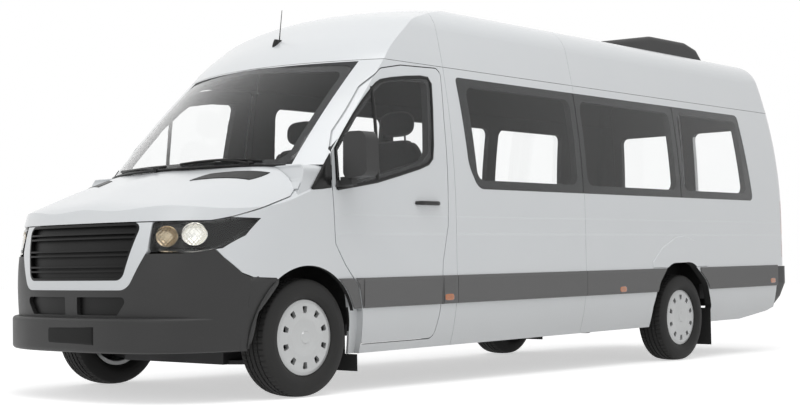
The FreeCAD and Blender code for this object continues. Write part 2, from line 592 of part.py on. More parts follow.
# Cab floor with its riser, and the bulkhead with the front wheel houses and strut towers
cab_low = D.cab_floor_z - D.floor_thick
cab_plate = block(-910, 910, -2250, -1300 - D.seat_gap, cab_low, D.cab_floor_z)
cab_plate = cab_plate.fuse(block(-910, 910, -1311, -1300 - D.seat_gap, cab_low, floor_low + 5)).removeSplitter()
fire = block(-860, 860, -2800, -2780, 815, 1240).fuse(block(-520, 520, -2800, -2780, cab_low, 820))
toe = block(-520, 520, -2790, -2250 - D.seat_gap, cab_low, cab_low + 10)
house = [block(515, 515 + PLATE, -2800, -2252, cab_low, 825), block(515, 905, -2262, -2252, cab_low, 825),
         block(515, 930, -2800, -2252, 815, 825)]
TOWER = (648.0, -2667.0)
tower = Part.makeCylinder(98, 190, V(TOWER[0], TOWER[1], 820)).cut(
    Part.makeCylinder(90, 180, V(TOWER[0], TOWER[1], 815)))
drill = Part.makeCylinder(90, 60, V(TOWER[0], TOWER[1], 780))
bulkhead = fire.fuse([toe] + house + [mirror(q) for q in house] + [tower, mirror(tower)])
bulkhead = bulkhead.cut(drill).cut(mirror(drill)).removeSplitter()
node("cab_floor", together([cab_plate, bulkhead]), RAKED)

# Engine, tank and exhaust
node("engine_block", block(-260, 260, -3330, -2830, 440 + D.seat_gap, 1040), RAKED)
tank = block(80, 400, -900, 200, 300, 450 - D.seat_gap)
EXHAUST_LINE = [(-300, -2190, 360), (-300, 1150, 360), (-300, 1480, 412), (-300, 1820, 412), (-300, 2150, 360),
                (-300, 3400, 360)]
EXHAUST_RADIUS = 28.0
EXHAUST_SIDES = 20


def hoop(x, y, z):
    """Round of the exhaust pipe at a point of its line, as a polygon."""
    turns = [2 * math.pi * i / EXHAUST_SIDES for i in range(EXHAUST_SIDES)]
    corners = [V(x + EXHAUST_RADIUS * math.cos(turn), y, z + EXHAUST_RADIUS * math.sin(turn)) for turn in turns]
    return Part.makePolygon(corners + corners[:1])


exhaust = Part.makeLoft([hoop(*point) for point in EXHAUST_LINE], True, True)
node("fuel_tank", tank, RAKED)
node("exhaust", exhaust, RAKED)

# Rear bumper: height and how far it is drawn in there
REAR_BUMPER = [(335, 95), (440, 35), (560, 0), (708, 0)]
BUMPER_SHELL = 30.0


def bumper_plan(z, shrink):
    """Outline of the rear bumper from above at a height, drawn in by a shrink."""
    x, corner, face = 996 - shrink, 3564 - shrink, 3683.5 - shrink
    corners = [(-x, 3294), (x, 3294), (x, corner, 150), (640, corner, 60), (560, face, 60), (-560, face, 60),
               (-640, corner, 60), (-x, corner, 150)]
    return wire(corners, lambda u, v: V(u, v, z))


bumper_rear = Part.makeLoft([bumper_plan(z, shrink) for z, shrink in REAR_BUMPER], True, True)
inside = [(z - (35 if z < 400 else 0), shrink + BUMPER_SHELL) for z, shrink in REAR_BUMPER[:3]] + [(668, BUMPER_SHELL)]
hollow = Part.makeLoft([bumper_plan(z, shrink) for z, shrink in inside], True, True)
bracket = block(425, 485, D.rear_face + D.seat_gap, 3670, 470, 560)
bumper_rear = bumper_rear.cut(hollow).fuse([bracket, mirror(bracket)])
node("rear_bumper", bumper_rear, RAKED)
unit = side_prism([(1235, 2540), (2855, 2540), (2730, 2646, 60), (2540, 2687, 90), (1969, 2684, 300), (1235, 2566)], -560, 560)
unit = unit.makeFillet(40, [edge for edge in unit.Edges if edge.BoundBox.XLength < 1 and edge.BoundBox.ZMin > 2560
                            and edge.BoundBox.YLength > 60])
node("roof_air_unit", unit.cut(OUTER[CABIN]), RAKED)

# Mirrors
head = front_prism([(1060, 1305, 40), (1250, 1320, 50), (1245, 1580, 60), (1065, 1585, 60)], -2450, -2340)
foot = side_prism([(-2455, 1262), (-2300, 1262), (-2320, 1300), (-2440, 1300)], 1000.3, 1012)
arm = block(1010, 1100, -2420, -2370, 1270, 1320)
wing = head.fuse([arm, foot])
node("mirror_left", wing, RAKED)

# Cab inside
dash = side_prism([(-2779.7, 1236), (-2690, 1290), (-2600, 1332, 80), (-2350, 1335, 80), (-2130, 1270, 60),
                   (-2110, 1100, 60), (-2300, 930, 60), (-2779.7, 900)], -860, 860)
for hand in (1, -1):
    dash = dash.cut(Part.makeCylinder(98 + D.seat_gap, 220, V(hand * TOWER[0], TOWER[1], 790 + D.seat_gap)))
node("dashboard", dash, RAKED)


def seat_at(x):
    base = block(x - 220, x + 220, -1720, -1312, 480 + D.seat_gap, 880)
    cushion = block(x - 250, x + 250, -1780, -1270, 880.3, 1010)
    back = side_prism([(-1360, 1010.3), (-1230, 1010.3), (-1160, 1610, 50), (-1270, 1630, 50)], x - 240, x + 240)
    rest = side_prism([(-1310, 1660, 40), (-1200, 1660, 40), (-1190, 1830, 40), (-1290, 1830, 40)], x - 140, x + 140)
    posts = rod((x - 60, -1240, 1560), (x - 60, -1240, 1690), 7).fuse(rod((x + 60, -1240, 1560), (x + 60, -1240, 1690), 7))
    return [base, cushion, back.fuse([posts, rest])]


node("cab_seats", together(seat_at(450) + seat_at(-450)), RAKED)
wheel_ring = Part.makeTorus(185, 15)
spokes = Part.makeCylinder(45, 40, V(0, 0, -20)).fuse([block(-180, 180, -18, 18, -8, 8), block(-18, 18, -180, 0, -8, 8)])
steer = wheel_ring.fuse(spokes)
steer.Placement = FreeCAD.Placement(V(430, -1930, 1190), FreeCAD.Rotation(V(1, 0, 0), -38))
tilt = math.radians(38)
steer_hub = (430, -1930, 1190)
down = (0, -math.sin(tilt), -math.cos(tilt))
column = rod([steer_hub[i] + 20.3 * down[i] for i in range(3)], [steer_hub[i] + 330 * down[i] for i in range(3)], 28)
node("steering_column", column.cut(dash), RAKED)
node("steering_wheel", together([steer]), RAKED)

# Wheels and axles, in the ground frame
def revolve(points):
    """Solid of revolution about X of a closed profile, (x, r)."""
    face = Part.Face(wire(points, lambda x, r: V(x, r, 0)))
    return face.revolve(V(0, 0, 0), V(1, 0, 0), 360)


half = D.tyre_width / 2
R = D.tyre_radius
TYRE_SIDES = 56


def ring(x, radius):
    """Circle about the axle at x, as a polygon of enough sides to look round."""
    turn = 2 * math.pi / TYRE_SIDES
    corners = [V(x, radius * math.cos(turn * i), radius * math.sin(turn * i)) for i in range(TYRE_SIDES)]
    return Part.makePolygon(corners + corners[:1])


# Half section of a tyre from bead to tread: (x, radius)
TYRE_WALL = [(72.7, 219.5), (half - 3, R - 94), (half, R - 58), (half - 9, R - 26), (half - 29, R - 7)]
tyre_rings = [(-x, r) for x, r in TYRE_WALL] + [(0, R)] + [(x, r) for x, r in reversed(TYRE_WALL)]
bead = (D.rim_radius + D.seat_gap) / math.cos(math.pi / TYRE_SIDES)
tyre = Part.makeLoft([ring(x, r) for x, r in tyre_rings], True, True)
tyre = tyre.cut(Part.makeLoft([ring(-100, bead), ring(100, bead)], True, True))
wheel = revolve([(-82.5, 196), (-82.5, 219), (-74, 219), (-73, 204), (73, 204), (74, 219), (88, 219),
                 (94, 200), (96, 150), (92, 110), (97, 60), (97, 38), (103, 32), (103, 0), (-44, 0),
                 (-44, 150), (-18, 150), (-18, 75), (60, 75), (64, 110), (74, 185), (60, 190), (-72, 190)])
slots = []
for i in range(10):
    slot = front_prism([(-13, 142, 6), (13, 142, 6), (20, 182, 8), (-20, 182, 8)], 0, 60)
    slot.rotate(V(0, 0, 0), V(0, 0, 1), 90)
    slot.translate(V(110, 0, 0))
    slot.rotate(V(0, 0, 0), V(1, 0, 0), 36 * i)
    slots.append(slot)
wheel = wheel.cut(slots)
places = {"front_left": (1, D.front_axle), "front_right": (-1, D.front_axle), "rear_left": (1, REAR_AXLE),
          "rear_right": (-1, REAR_AXLE)}
for name, (hand, y) in places.items():
    turn = FreeCAD.Rotation(V(0, 0, 1), 0 if hand > 0 else 180)
    spot = FreeCAD.Placement(V(hand * D.track / 2 - D.side_shift, y, D.hub_z), turn)
    node("tyre_" + name, tyre, spot)
    node("rim_" + name, wheel, spot)

LOW_JOINT = (785.0, 215.0)
TOP_MOUNT = (623.0, 985.0)


def kingpin(z):
    return LOW_JOINT[0] + (TOP_MOUNT[0] - LOW_JOINT[0]) * (z - LOW_JOINT[1]) / (TOP_MOUNT[1] - LOW_JOINT[1])


yf = D.front_axle
carrier = rod((735, yf, D.hub_z), (D.track / 2 - 44.3, yf, D.hub_z), 55)
upright = rod((kingpin(211), yf, 211), (kingpin(370), yf, 370), 24)
strut = rod((kingpin(360), yf, 360), (kingpin(760), yf, 760), 25)
spring_seat = rod((kingpin(740), yf, 740), (kingpin(752), yf, 752), 62)
spring = rod((kingpin(750), yf, 750), (kingpin(938), yf, 938), 55)
steering_arm = rod((740, yf, 300), (700, yf + 130, 290), 14)
caliper = block(775, 850, yf - 180, yf - 100, D.hub_z - 60, D.hub_z + 60)
caliper = caliper.cut(Part.makeCylinder(156, 34, V(855 - 48, yf, D.hub_z), V(1, 0, 0)))
caliper = caliper.common(Part.makeCylinder(184, 200, V(700, yf, D.hub_z), V(1, 0, 0)))
bracket = block(745, 790, yf - 120, yf, D.hub_z - 25, D.hub_z + 25)
knuckle = carrier.fuse([upright, strut, spring_seat, spring, steering_arm, bracket, caliper])
node("knuckle_left", knuckle, LEVEL)
node("knuckle_right", mirror(knuckle), LEVEL)

arm_plan = [(806, yf - 20, 19), (806, yf + 20, 19), (600, yf + 60), (430, yf + 220, 30), (430, yf - 180, 30),
            (600, yf - 60)]
lower_arm = plan_prism(arm_plan, 180, 203.7)
member = block(-460, 460, yf - 190, yf + 230, 180, 260).cut(block(-380, 380, yf - 120, yf + 160, 100, 300))
legs = [block(430, 488, yf - 150, yf - 90, 250, 330), block(430, 488, yf + 120, yf + 180, 250, 330)]
rail_seat = block(400, 520, -3450, -1300, 340 - D.seat_gap, 500)
rail_seat.Placement = TURN
legs = [leg.cut(rail_seat) for leg in legs]
rack = rod((-400, yf + 190, 282), (400, yf + 190, 282), 30)
link = plan_prism([(430, yf - 180), (600, yf - 60), (600, yf + 60), (430, yf + 220)], 180, 203)
front_axle = member.fuse([lower_arm, mirror(lower_arm)] + legs + [mirror(q) for q in legs] + [rack])
node("front_axle", front_axle, LEVEL)

yr = REAR_AXLE
beam = rod((-(D.track / 2 - 44.3), yr, D.hub_z), (D.track / 2 - 44.3, yr, D.hub_z), 45)
pot = rod((-95, yr, D.hub_z), (95, yr, D.hub_z), 150)
pot = pot.makeFillet(50, pot.Edges[0:1] + pot.Edges[2:3])
nose_pot = rod((0, yr - 260, D.hub_z + 10), (0, yr - 60, D.hub_z + 2), 70)
shaft = rod((0, -1700, 330), (0, yr - 250, D.hub_z + 10), 38)
leaf = side_prism([(yr - 720, 470), (yr - 660, 470), (yr - 60, 395), (yr + 60, 395), (yr + 640, 470),
                   (yr + 700, 470), (yr + 700, 452), (yr + 100, 365), (yr - 100, 365), (yr - 720, 452)], 525, 595)
clamp = block(520, 600, yr - 60, yr + 60, 340, 410)
rear_axle = beam.fuse([pot, nose_pot, shaft, leaf, mirror(leaf), clamp, mirror(clamp)])
node("rear_axle", rear_axle, LEVEL)
flap = front_prism([(740, 160), (965, 160), (965, D.sill_z - 1), (866, D.sill_z - 1), (866, 440 - D.seat_gap),
                    (740, 440 - D.seat_gap)], -2251, -2245)
flap_rear = front_prism([(740, 75), (965, 75), (965, 380), (866, 380), (866, floor_low - D.seat_gap),
                         (740, floor_low - D.seat_gap)], 2112, 2118)
node("mudflaps", together([flap, mirror(flap), flap_rear, mirror(flap_rear)]), RAKED)

doc.recompute()
for item in doc.Objects:
    if "Invalid" in item.State or "Error" in item.State:
        raise SystemExit("the document has an error in " + item.Label)
for part in NODES:
    if part.Shape.isNull() or not part.Shape.isValid():
        raise SystemExit("unsound shape: " + part.Label)
    part.Shape.exportStep("parts/%s.step" % part.Label)
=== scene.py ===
# %% [markdown]
# # A long high-roof minibus
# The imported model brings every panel, wheel and pane as a plain solid in its real place.
# This lesson dresses it: it first gives each solid its finish, then adds the small things
# that a van carries, such as lamps, handles, wipers, tyres with tread and padded seats.

# %% Load the frame
import math

import bpy
import numpy as np
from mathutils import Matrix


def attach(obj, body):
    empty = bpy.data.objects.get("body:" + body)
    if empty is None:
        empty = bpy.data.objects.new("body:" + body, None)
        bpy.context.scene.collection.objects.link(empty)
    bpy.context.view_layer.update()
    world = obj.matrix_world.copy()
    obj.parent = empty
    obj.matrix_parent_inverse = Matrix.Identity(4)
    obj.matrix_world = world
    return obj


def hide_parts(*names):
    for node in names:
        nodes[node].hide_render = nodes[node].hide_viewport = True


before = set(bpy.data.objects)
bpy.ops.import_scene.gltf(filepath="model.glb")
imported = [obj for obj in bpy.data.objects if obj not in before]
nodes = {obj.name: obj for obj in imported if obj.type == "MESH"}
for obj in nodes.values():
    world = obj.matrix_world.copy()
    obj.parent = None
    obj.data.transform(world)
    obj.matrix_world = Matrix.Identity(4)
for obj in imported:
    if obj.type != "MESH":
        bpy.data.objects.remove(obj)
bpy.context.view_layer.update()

# %% [markdown]
# The body of the vehicle sits slightly nose down on its wheels, by less than one degree.
# Its lines are easier to write in a level frame, so the helpers below take level
# coordinates and turn them once into place.

# %% Level body coordinates to the scene
RAKE = math.radians(0.836)
CENTRE = -0.1195
HALF_WIDTH = 1.0
WAIST_LOW, WAIST_HIGH = 0.7, 1.07
SILL_ARC, SIDE_ARC = 1.35, 5.6
SIDES = ((1, "left"), (-1, "right"))


def grounded(points):
    """Ground coordinates about the vehicle's centre plane, moved to the scene: x' = x + centre."""
    return np.asarray(points, dtype=float) + (CENTRE, 0.0, 0.0)


def raked(points):
    """Level body coordinates turned about the X axis by the rake: y' = y cos - z sin, z' = y sin + z cos."""
    x, y, z = np.moveaxis(np.asarray(points, dtype=float), -1, 0)
    c, s = math.cos(RAKE), math.sin(RAKE)
    return grounded(np.stack([x, y * c - z * s, y * s + z * c], axis=-1))


def side_x(z):
    """Half width of the body side: an arc below the waist, straight across it, then a far larger arc."""
    z = np.asarray(z, dtype=float)
    low = HALF_WIDTH - SILL_ARC + np.sqrt(SILL_ARC ** 2 - np.clip(WAIST_LOW - z, 0, None) ** 2)
    high = HALF_WIDTH - SIDE_ARC + np.sqrt(SIDE_ARC ** 2 - np.clip(z - WAIST_HIGH, 0, None) ** 2)
    return np.where(z < WAIST_LOW, low, np.where(z < WAIST_HIGH, HALF_WIDTH, high))


print("half width at the belt: %.3f m" % side_x(1.285))

# %% [markdown]
# A material in Blender is a graph of nodes. Written node by node, the sums behind a pattern
# are hard to read, so one small class wraps a node socket and lets Python's own operators
# add the Math nodes. Everything else comes from a single method that adds one node.

# %% Sockets as numbers


def math_method(operation, swapped=False):
    """A method of Wire that adds one Math node; swapped ones take the other operand first."""
    def method(self, other=0):
        a, b = (other, self) if swapped else (self, other)
        return self.finish.sum(operation, a, b)
    return method


class Wire:
    """A node's output that can be added, multiplied and compared like a number."""

    def __init__(self, finish, socket):
        self.finish = finish
        self.socket = socket

    __add__, __radd__ = math_method("ADD"), math_method("ADD", True)
    __sub__, __rsub__ = math_method("SUBTRACT"), math_method("SUBTRACT", True)
    __mul__, __rmul__ = math_method("MULTIPLY"), math_method("MULTIPLY", True)
    __truediv__, __abs__ = math_method("DIVIDE"), math_method("ABSOLUTE")
    __gt__, __lt__ = math_method("GREATER_THAN"), math_method("LESS_THAN")


class Finish:
    """One material, and the method that adds its nodes."""

    def __init__(self, name, **constants):
        self.material = bpy.data.materials.new(name)
        self.material.use_nodes = True
        self.tree = self.material.node_tree
        self.tree.nodes.clear()
        self.out = self.tree.nodes.new("ShaderNodeOutputMaterial")
        self.shader = self.tree.nodes.new("ShaderNodeBsdfPrincipled")
        self.tree.links.new(self.shader.outputs[0], self.out.inputs[0])
        for key, value in constants.items():
            self.shader.inputs[key.replace("_", " ")].default_value = value

    def add(self, kind, settings=None, inputs=None, output=0):
        """Adds a node: its settings first, then the values or links of its sockets."""
        node = self.tree.nodes.new(kind)
        for key, value in (settings or {}).items():
            setattr(node, key, value)
        for key, value in (inputs or {}).items():
            if isinstance(value, Wire):
                self.tree.links.new(value.socket, node.inputs[key])
            else:
                node.inputs[key].default_value = value
        return Wire(self, node.outputs[output])

    def sum(self, operation, a, b=0.0):
        """A Math node that has no operator of its own, such as MAXIMUM or SINE."""
        return self.add("ShaderNodeMath", {"operation": operation}, {0: a, 1: b})

    def feed(self, name, wire):
        """Links a varying value to one of the shader's sockets."""
        self.tree.links.new(wire.socket, self.shader.inputs[name])

    def place(self, level=False):
        """x, y and z of the surface point; level=True turns the rake of the body out of them."""
        point = self.add("ShaderNodeTexCoord", output="Object")
        if level:
            point = self.add("ShaderNodeMapping", {"vector_type": "POINT"},
                             {0: point, 1: (-CENTRE, 0, 0), 2: (-RAKE, 0, 0)})
        split = self.tree.nodes.new("ShaderNodeSeparateXYZ")
        self.tree.links.new(point.socket, split.inputs[0])
        return [Wire(self, split.outputs[i]) for i in range(3)]

    def facing(self):
        """x, y and z of the surface normal in the object's own frame."""
        split = self.tree.nodes.new("ShaderNodeSeparateXYZ")
        self.tree.links.new(self.add("ShaderNodeTexCoord", output="Normal").socket, split.inputs[0])
        return [Wire(self, split.outputs[i]) for i in range(3)]

    def noise(self, scale, detail=3.0, rough=0.5):
        """Cloudy noise on object coordinates, from 0 to 1."""
        point = self.add("ShaderNodeTexCoord", output="Object")
        return self.add("ShaderNodeTexNoise", {}, {"Vector": point, "Scale": scale, "Detail": detail,
                                                   "Roughness": rough})

    def soft_step(self, wire, start, end):
        """0 below start, 1 above end and smooth between."""
        return self.add("ShaderNodeMapRange", {"interpolation_type": "SMOOTHSTEP"},
                        {0: wire, 1: start, 2: end, 3: 0.0, 4: 1.0})

    def blend(self, mask, a, b):
        """Colour a where the mask is 0 and colour b where it is 1."""
        return self.add("ShaderNodeMix", {"data_type": "RGBA"}, {0: mask, 6: a, 7: b}, output=2)

    def bump(self, height, strength=0.3, distance=0.001):
        """Feeds a height to the shader's normal through a Bump node."""
        self.feed("Normal", self.add("ShaderNodeBump", {}, {"Height": height, "Strength": strength,
                                                            "Distance": distance}))
    def done(self, colour, rough, height, strength=0.3, distance=0.001):
        """Feeds colour, roughness and bump height, and gives the material."""
        self.feed("Base Color", colour)
        self.feed("Roughness", rough)
        self.bump(height, strength, distance)
        return self.material


def grey(value, tint=(1.0, 1.0, 1.0)):
    """An opaque grey, tinted."""
    return (value * tint[0], value * tint[1], value * tint[2], 1.0)


print("shader helpers ready")

# %% [markdown]
# The photograph was taken from low down, ahead of the left front corner, with a long lens.
# The camera's place and direction were worked out from the axles, seams and roof line,
# and a rotation matrix of its right, up and backward directions sets it without guesswork.

# %% Camera
from mathutils import Matrix

EYE = (6.784, -8.618, 0.709)
YAW, PITCH, ROLL = (math.radians(a) for a in (130.67, 2.74, -0.39))
forward = np.array([math.cos(PITCH) * math.cos(YAW), math.cos(PITCH) * math.sin(YAW), math.sin(PITCH)])
flat_right = np.cross(forward, (0, 0, 1))
flat_right /= np.linalg.norm(flat_right)
flat_up = np.cross(flat_right, forward)
right = math.cos(ROLL) * flat_right + math.sin(ROLL) * flat_up
up = -math.sin(ROLL) * flat_right + math.cos(ROLL) * flat_up
lens = bpy.data.cameras.new("camera")
lens.lens = 64.35
lens.sensor_width = 36.0
camera = bpy.data.objects.new("camera", lens)
bpy.context.scene.collection.objects.link(camera)
turn = Matrix(np.column_stack([right, up, -forward]).tolist()).to_4x4()
camera.matrix_world = Matrix.Translation(grounded(EYE)) @ turn
bpy.context.scene.camera = camera
print("camera at", [round(v, 3) for v in camera.location])

# %% [markdown]
# The studio is a white surround. The world lights the vehicle evenly, and one large soft
# lamp above the camera's side gives the panels a little shape. What the camera, the paint
# and the glass see of the world is plain white.

# %% Studio
scene = bpy.context.scene
scene.view_settings.view_transform = "Standard"
world = bpy.data.worlds.new("studio")
scene.world = world
world.use_nodes = True
tree = world.node_tree
tree.nodes.clear()
path = tree.nodes.new("ShaderNodeLightPath")
seen = tree.nodes.new("ShaderNodeMath")
seen.operation = "MAXIMUM"
tree.links.new(path.outputs["Is Camera Ray"], seen.inputs[0])
clear = tree.nodes.new("ShaderNodeMath")
clear.operation = "MAXIMUM"
tree.links.new(path.outputs["Is Glossy Ray"], clear.inputs[0])
tree.links.new(path.outputs["Is Transmission Ray"], clear.inputs[1])
tree.links.new(clear.outputs[0], seen.inputs[1])
strength = tree.nodes.new("ShaderNodeMapRange")
tree.links.new(seen.outputs[0], strength.inputs[0])
WORLD_LIGHT = 0.58
strength.inputs[3].default_value = WORLD_LIGHT
strength.inputs[4].default_value = 1.0
sky = tree.nodes.new("ShaderNodeBackground")
tree.links.new(strength.outputs[0], sky.inputs["Strength"])
sky.inputs["Color"].default_value = (1.0, 1.0, 1.0, 1.0)
ground_out = tree.nodes.new("ShaderNodeOutputWorld")
tree.links.new(sky.outputs[0], ground_out.inputs[0])


def soft_lamp(name, place, target, size, power):
    """A square area lamp at a place, turned to a target."""
    light = bpy.data.lights.new(name, "AREA")
    light.shape = "SQUARE"
    light.size = size
    light.energy = power
    lamp = bpy.data.objects.new(name, light)
    scene.collection.objects.link(lamp)
    aim = np.array(target, dtype=float) - place
    aim /= np.linalg.norm(aim)
    side = np.cross(aim, (0, 0, 1.0))
    side /= np.linalg.norm(side)
    frame_of_lamp = Matrix(np.column_stack([side, np.cross(side, aim), -aim]).tolist()).to_4x4()
    lamp.matrix_world = Matrix.Translation(place) @ frame_of_lamp
    return lamp


soft_lamp("overhead", np.array([3.0, -4.0, 9.0]), (0, 0, 1.0), 7.0, 360.0)
soft_lamp("front_fill", np.array([2.0, -11.0, 4.0]), (0, -2.0, 1.2), 5.0, 60.0)

floor_finish = Finish("studio_floor", Roughness=0.9)
dust = floor_finish.noise(0.6, 2.0)
floor_finish.feed("Base Color", floor_finish.blend(dust, grey(0.80), grey(0.82)))
floor_finish.bump(floor_finish.noise(40.0), 0.05)
direct, mirrored, through = [floor_finish.add("ShaderNodeLightPath", output=kind)
                             for kind in ("Is Camera Ray", "Is Glossy Ray", "Is Transmission Ray")]
either = floor_finish.sum("MAXIMUM", floor_finish.sum("MAXIMUM", direct, mirrored), through)
FLOOR_SIZE = 60.0
floor_mesh = bpy.data.meshes.new("studio_floor")
floor_mesh.from_pydata([(-FLOOR_SIZE, -FLOOR_SIZE, 0), (FLOOR_SIZE, -FLOOR_SIZE, 0),
                        (FLOOR_SIZE, FLOOR_SIZE, 0), (-FLOOR_SIZE, FLOOR_SIZE, 0)], [], [(0, 1, 2, 3)])
studio_floor = bpy.data.objects.new("studio_floor", floor_mesh)
scene.collection.objects.link(studio_floor)
floor_mesh.materials.append(floor_finish.material)
GLOW = 0.55
plain = Wire(floor_finish, floor_finish.shader.outputs[0])
glow = floor_finish.add("ShaderNodeEmission", {}, {0: (1.0, 1.0, 1.0, 1.0), 1: GLOW})
both = floor_finish.add("ShaderNodeAddShader", {}, {0: plain, 1: glow})
shown = floor_finish.add("ShaderNodeMixShader", {}, {0: either, 1: plain, 2: both})
floor_finish.tree.links.new(shown.socket, floor_finish.out.inputs[0])
print("studio: world", WORLD_LIGHT, "floor", 2 * FLOOR_SIZE, "m")

# %% [markdown]
# The body is white paint under clear coat. Real paint is never one flat colour: it has a
# faint orange peel, and it turns darker, greyer and duller towards the sills. The same panels
# are near black inside: dark trim with painted shade where a face looks inwards or down from
# high up, and black frit under a pane. All of it is worked out from the place of the point.

# %% Paint


def half_width(finish, z):
    """side_x as nodes, each arc of radius R as a parabola: half width - distance^2 / 2 R."""
    above = finish.sum("MAXIMUM", z - WAIST_HIGH, 0.0)
    below = finish.sum("MAXIMUM", WAIST_LOW - z, 0.0)
    return HALF_WIDTH - above * above / (2 * SIDE_ARC) - below * below / (2 * SILL_ARC)


def inner_mask(finish, pane):
    """1 on faces that look into the vehicle, whose dark is trim and painted shade, or that lie under a pane
    (side, door or screen), whose dark is black frit; else 0.
    """
    x, y, z = finish.place(level=True)
    nx, ny, nz = finish.facing()
    width = half_width(finish, z)
    mask = (nx * x < -0.12) * (abs(x) < width - 0.012)
    mask = finish.sum("MAXIMUM", mask, (nz < -0.5) * (z > 1.9))
    mask = finish.sum("MAXIMUM", mask, (ny < -0.5) * (y > 3.3))
    if pane == "side":
        mask = finish.sum("MAXIMUM", mask, (abs(x) < width - 0.004) * (z > 1.25) * (z < 2.06) * (y < 3.3))
    if pane == "door":
        under = (abs(x) < width - 0.004) * (z > 1.24) * (z < 2.02) * (z < 1.515 + (y + 2.44) * 0.96)
        mask = finish.sum("MAXIMUM", mask, under)
    if pane == "screen":
        under = (abs(x) < 0.943 - z * 0.083) * (z > 1.398) * (z < 2.076) * (y < -1.9)
        mask = finish.sum("MAXIMUM", mask, under)
    return mask


ARCH_Y, ARCH_Z, ARCH_SEEN = -2.690, 0.384, 0.4162


def arch_mask(finish):
    """1 on the edges of the wheel arches, which are lined in black, else 0."""
    x, y, z = finish.place(level=True)
    nx = finish.facing()[0]
    dy, dz = y - ARCH_Y, finish.sum("MAXIMUM", z - ARCH_Z, 0.0)
    front = (dy * dy + dz * dz < ARCH_SEEN * ARCH_SEEN)
    rear = (abs(y - 1.67) < 0.47) * (z < 0.775) * (abs(nx) < 0.5) * (abs(x) > 0.6)
    return finish.sum("MAXIMUM", front, rear)


# Waist press lines: lower and upper edge in metres, and how deep the bump goes.
PRESS_LINES = [(0.975, 0.995, 16.0), (1.092, 1.104, 6.0)]


def body_paint(name, dark_inside=True, creased=False, pane="side"):
    """White clear-coated paint; panels with a dark inside get dark trim and painted shade there and black
    frit under the panes, creased ones carry the press lines.
    """
    finish = Finish(name, Metallic=0.0, IOR=1.5, Coat_Roughness=0.2)
    z = finish.place(level=True)[2]
    film = finish.noise(2.2, 4.0)
    # Towards the bottom of the body the paint turns darker and greyer, rougher and less glossy.
    sill_weight = finish.soft_step(0.75 - z + 0.25 * film, 0.05, 0.6)
    colour = finish.blend(film, (0.665, 0.69, 0.71, 1), (0.70, 0.72, 0.735, 1))
    colour = finish.blend(sill_weight * 0.30, colour, (0.50, 0.50, 0.49, 1))
    rough = 0.30 + film * 0.08 + sill_weight * 0.18
    coat = 0.9 - sill_weight * 0.5
    height = finish.noise(55.0, 2.0) * 0.05
    if creased:
        for low, high, deep in PRESS_LINES:
            height = height - finish.soft_step(z, low, high) * deep
    if dark_inside:
        # Painted shade: faces inside the body turn near black, as dark trim standing in for the unlit
        # inside; under the panes the same dark is black frit.
        mask = inner_mask(finish, pane)
        trim = finish.blend(finish.noise(30.0), (0.018, 0.019, 0.020, 1), (0.028, 0.029, 0.031, 1))
        colour = finish.blend(mask, colour, trim)
        rough = rough + mask * 0.45
        coat = coat - mask * 0.9
        height = height + mask * finish.noise(160.0, 2.0) * 0.4
    lining = arch_mask(finish)
    colour = finish.blend(lining, colour, (0.006, 0.006, 0.006, 1))
    rough = rough + lining * 0.4
    coat = coat - lining * 0.9
    finish.feed("Coat Weight", finish.sum("MAXIMUM", coat, 0.0))
    return finish.done(colour, finish.sum("MINIMUM", rough, 0.9), height, 0.35)


def grained(name, dark, light, grain, rough, height=0.35, specular=0.4):
    """Moulded plastic or rubber: a noise grain in colour, roughness and bump, paler where it is scuffed."""
    finish = Finish(name, **{"IOR": 1.46, "Specular_IOR_Level": specular})
    cloud = finish.noise(3.0, 4.0)
    pores = finish.noise(grain, 3.0, 0.6)
    colour = finish.blend(cloud, dark, light)
    scuffed = tuple(min(1.0, c * 1.5) for c in light[:3]) + (1,)
    colour = finish.blend((pores > 0.62) * 0.25, colour, scuffed)
    rough = rough + (cloud - 0.5) * 0.2 + (pores - 0.5) * 0.15
    return finish.done(colour, rough, pores, height, 0.0008)


def glazing(name, tint, rough=0.0):
    """Clear or tinted glass with the faintest waviness and a thin cloudy film."""
    finish = Finish(name, Transmission_Weight=1.0, IOR=1.24)
    cloud = finish.noise(1.5, 2.0)
    colour = finish.blend(cloud, tint, tuple(c * 0.97 for c in tint[:3]) + (1,))
    return finish.done(colour, cloud * 0.012 + rough, finish.noise(2.5, 1.0), 0.03)


def metal(name, colour, rough, scale=25.0, metallic=0.9):
    """Metal or metallic paint with cloudy roughness and fine specks."""
    finish = Finish(name)
    cloud = finish.noise(scale * 0.2, 4.0)
    speck = finish.noise(scale * 12, 2.0)
    dark = tuple(c * 0.82 for c in colour[:3]) + (1,)
    finish.feed("Metallic", metallic - cloud * 0.08)
    colour = finish.blend(cloud * 0.7 + speck * 0.2, colour, dark)
    return finish.done(colour, rough + (cloud - 0.5) * 0.18, speck, 0.12, 0.0005)


PAINT = body_paint("white_paint")
PAINT_CAB = body_paint("white_paint_cab", pane="screen")
PAINT_DOOR = body_paint("white_paint_door", creased=True, pane="door")
PAINT_SIDE = body_paint("white_paint_side", creased=True)
PAINT_NOSE = body_paint("white_paint_nose", dark_inside=False)
BUMPER = grained("bumper_plastic", grey(0.026), grey(0.038), 700.0, 0.46)
STRIP = grained("strip_plastic", grey(0.115), grey(0.14), 700.0, 0.55)
BLACK = grained("black_trim", grey(0.006), grey(0.010), 400.0, 0.38, 0.15, 0.3)
GRILLE = grained("grille_plastic", grey(0.0035), grey(0.006), 300.0, 0.42, 0.1, 0.25)
RUBBER = grained("rubber", grey(0.010), grey(0.018), 300.0, 0.75)
INNER = grained("cab_plastic", grey(0.022), grey(0.034), 500.0, 0.6)
GLASS = glazing("window_glass", (0.985, 0.99, 0.99, 1))
LENS = glazing("lamp_lens", (0.97, 0.98, 0.98, 1))
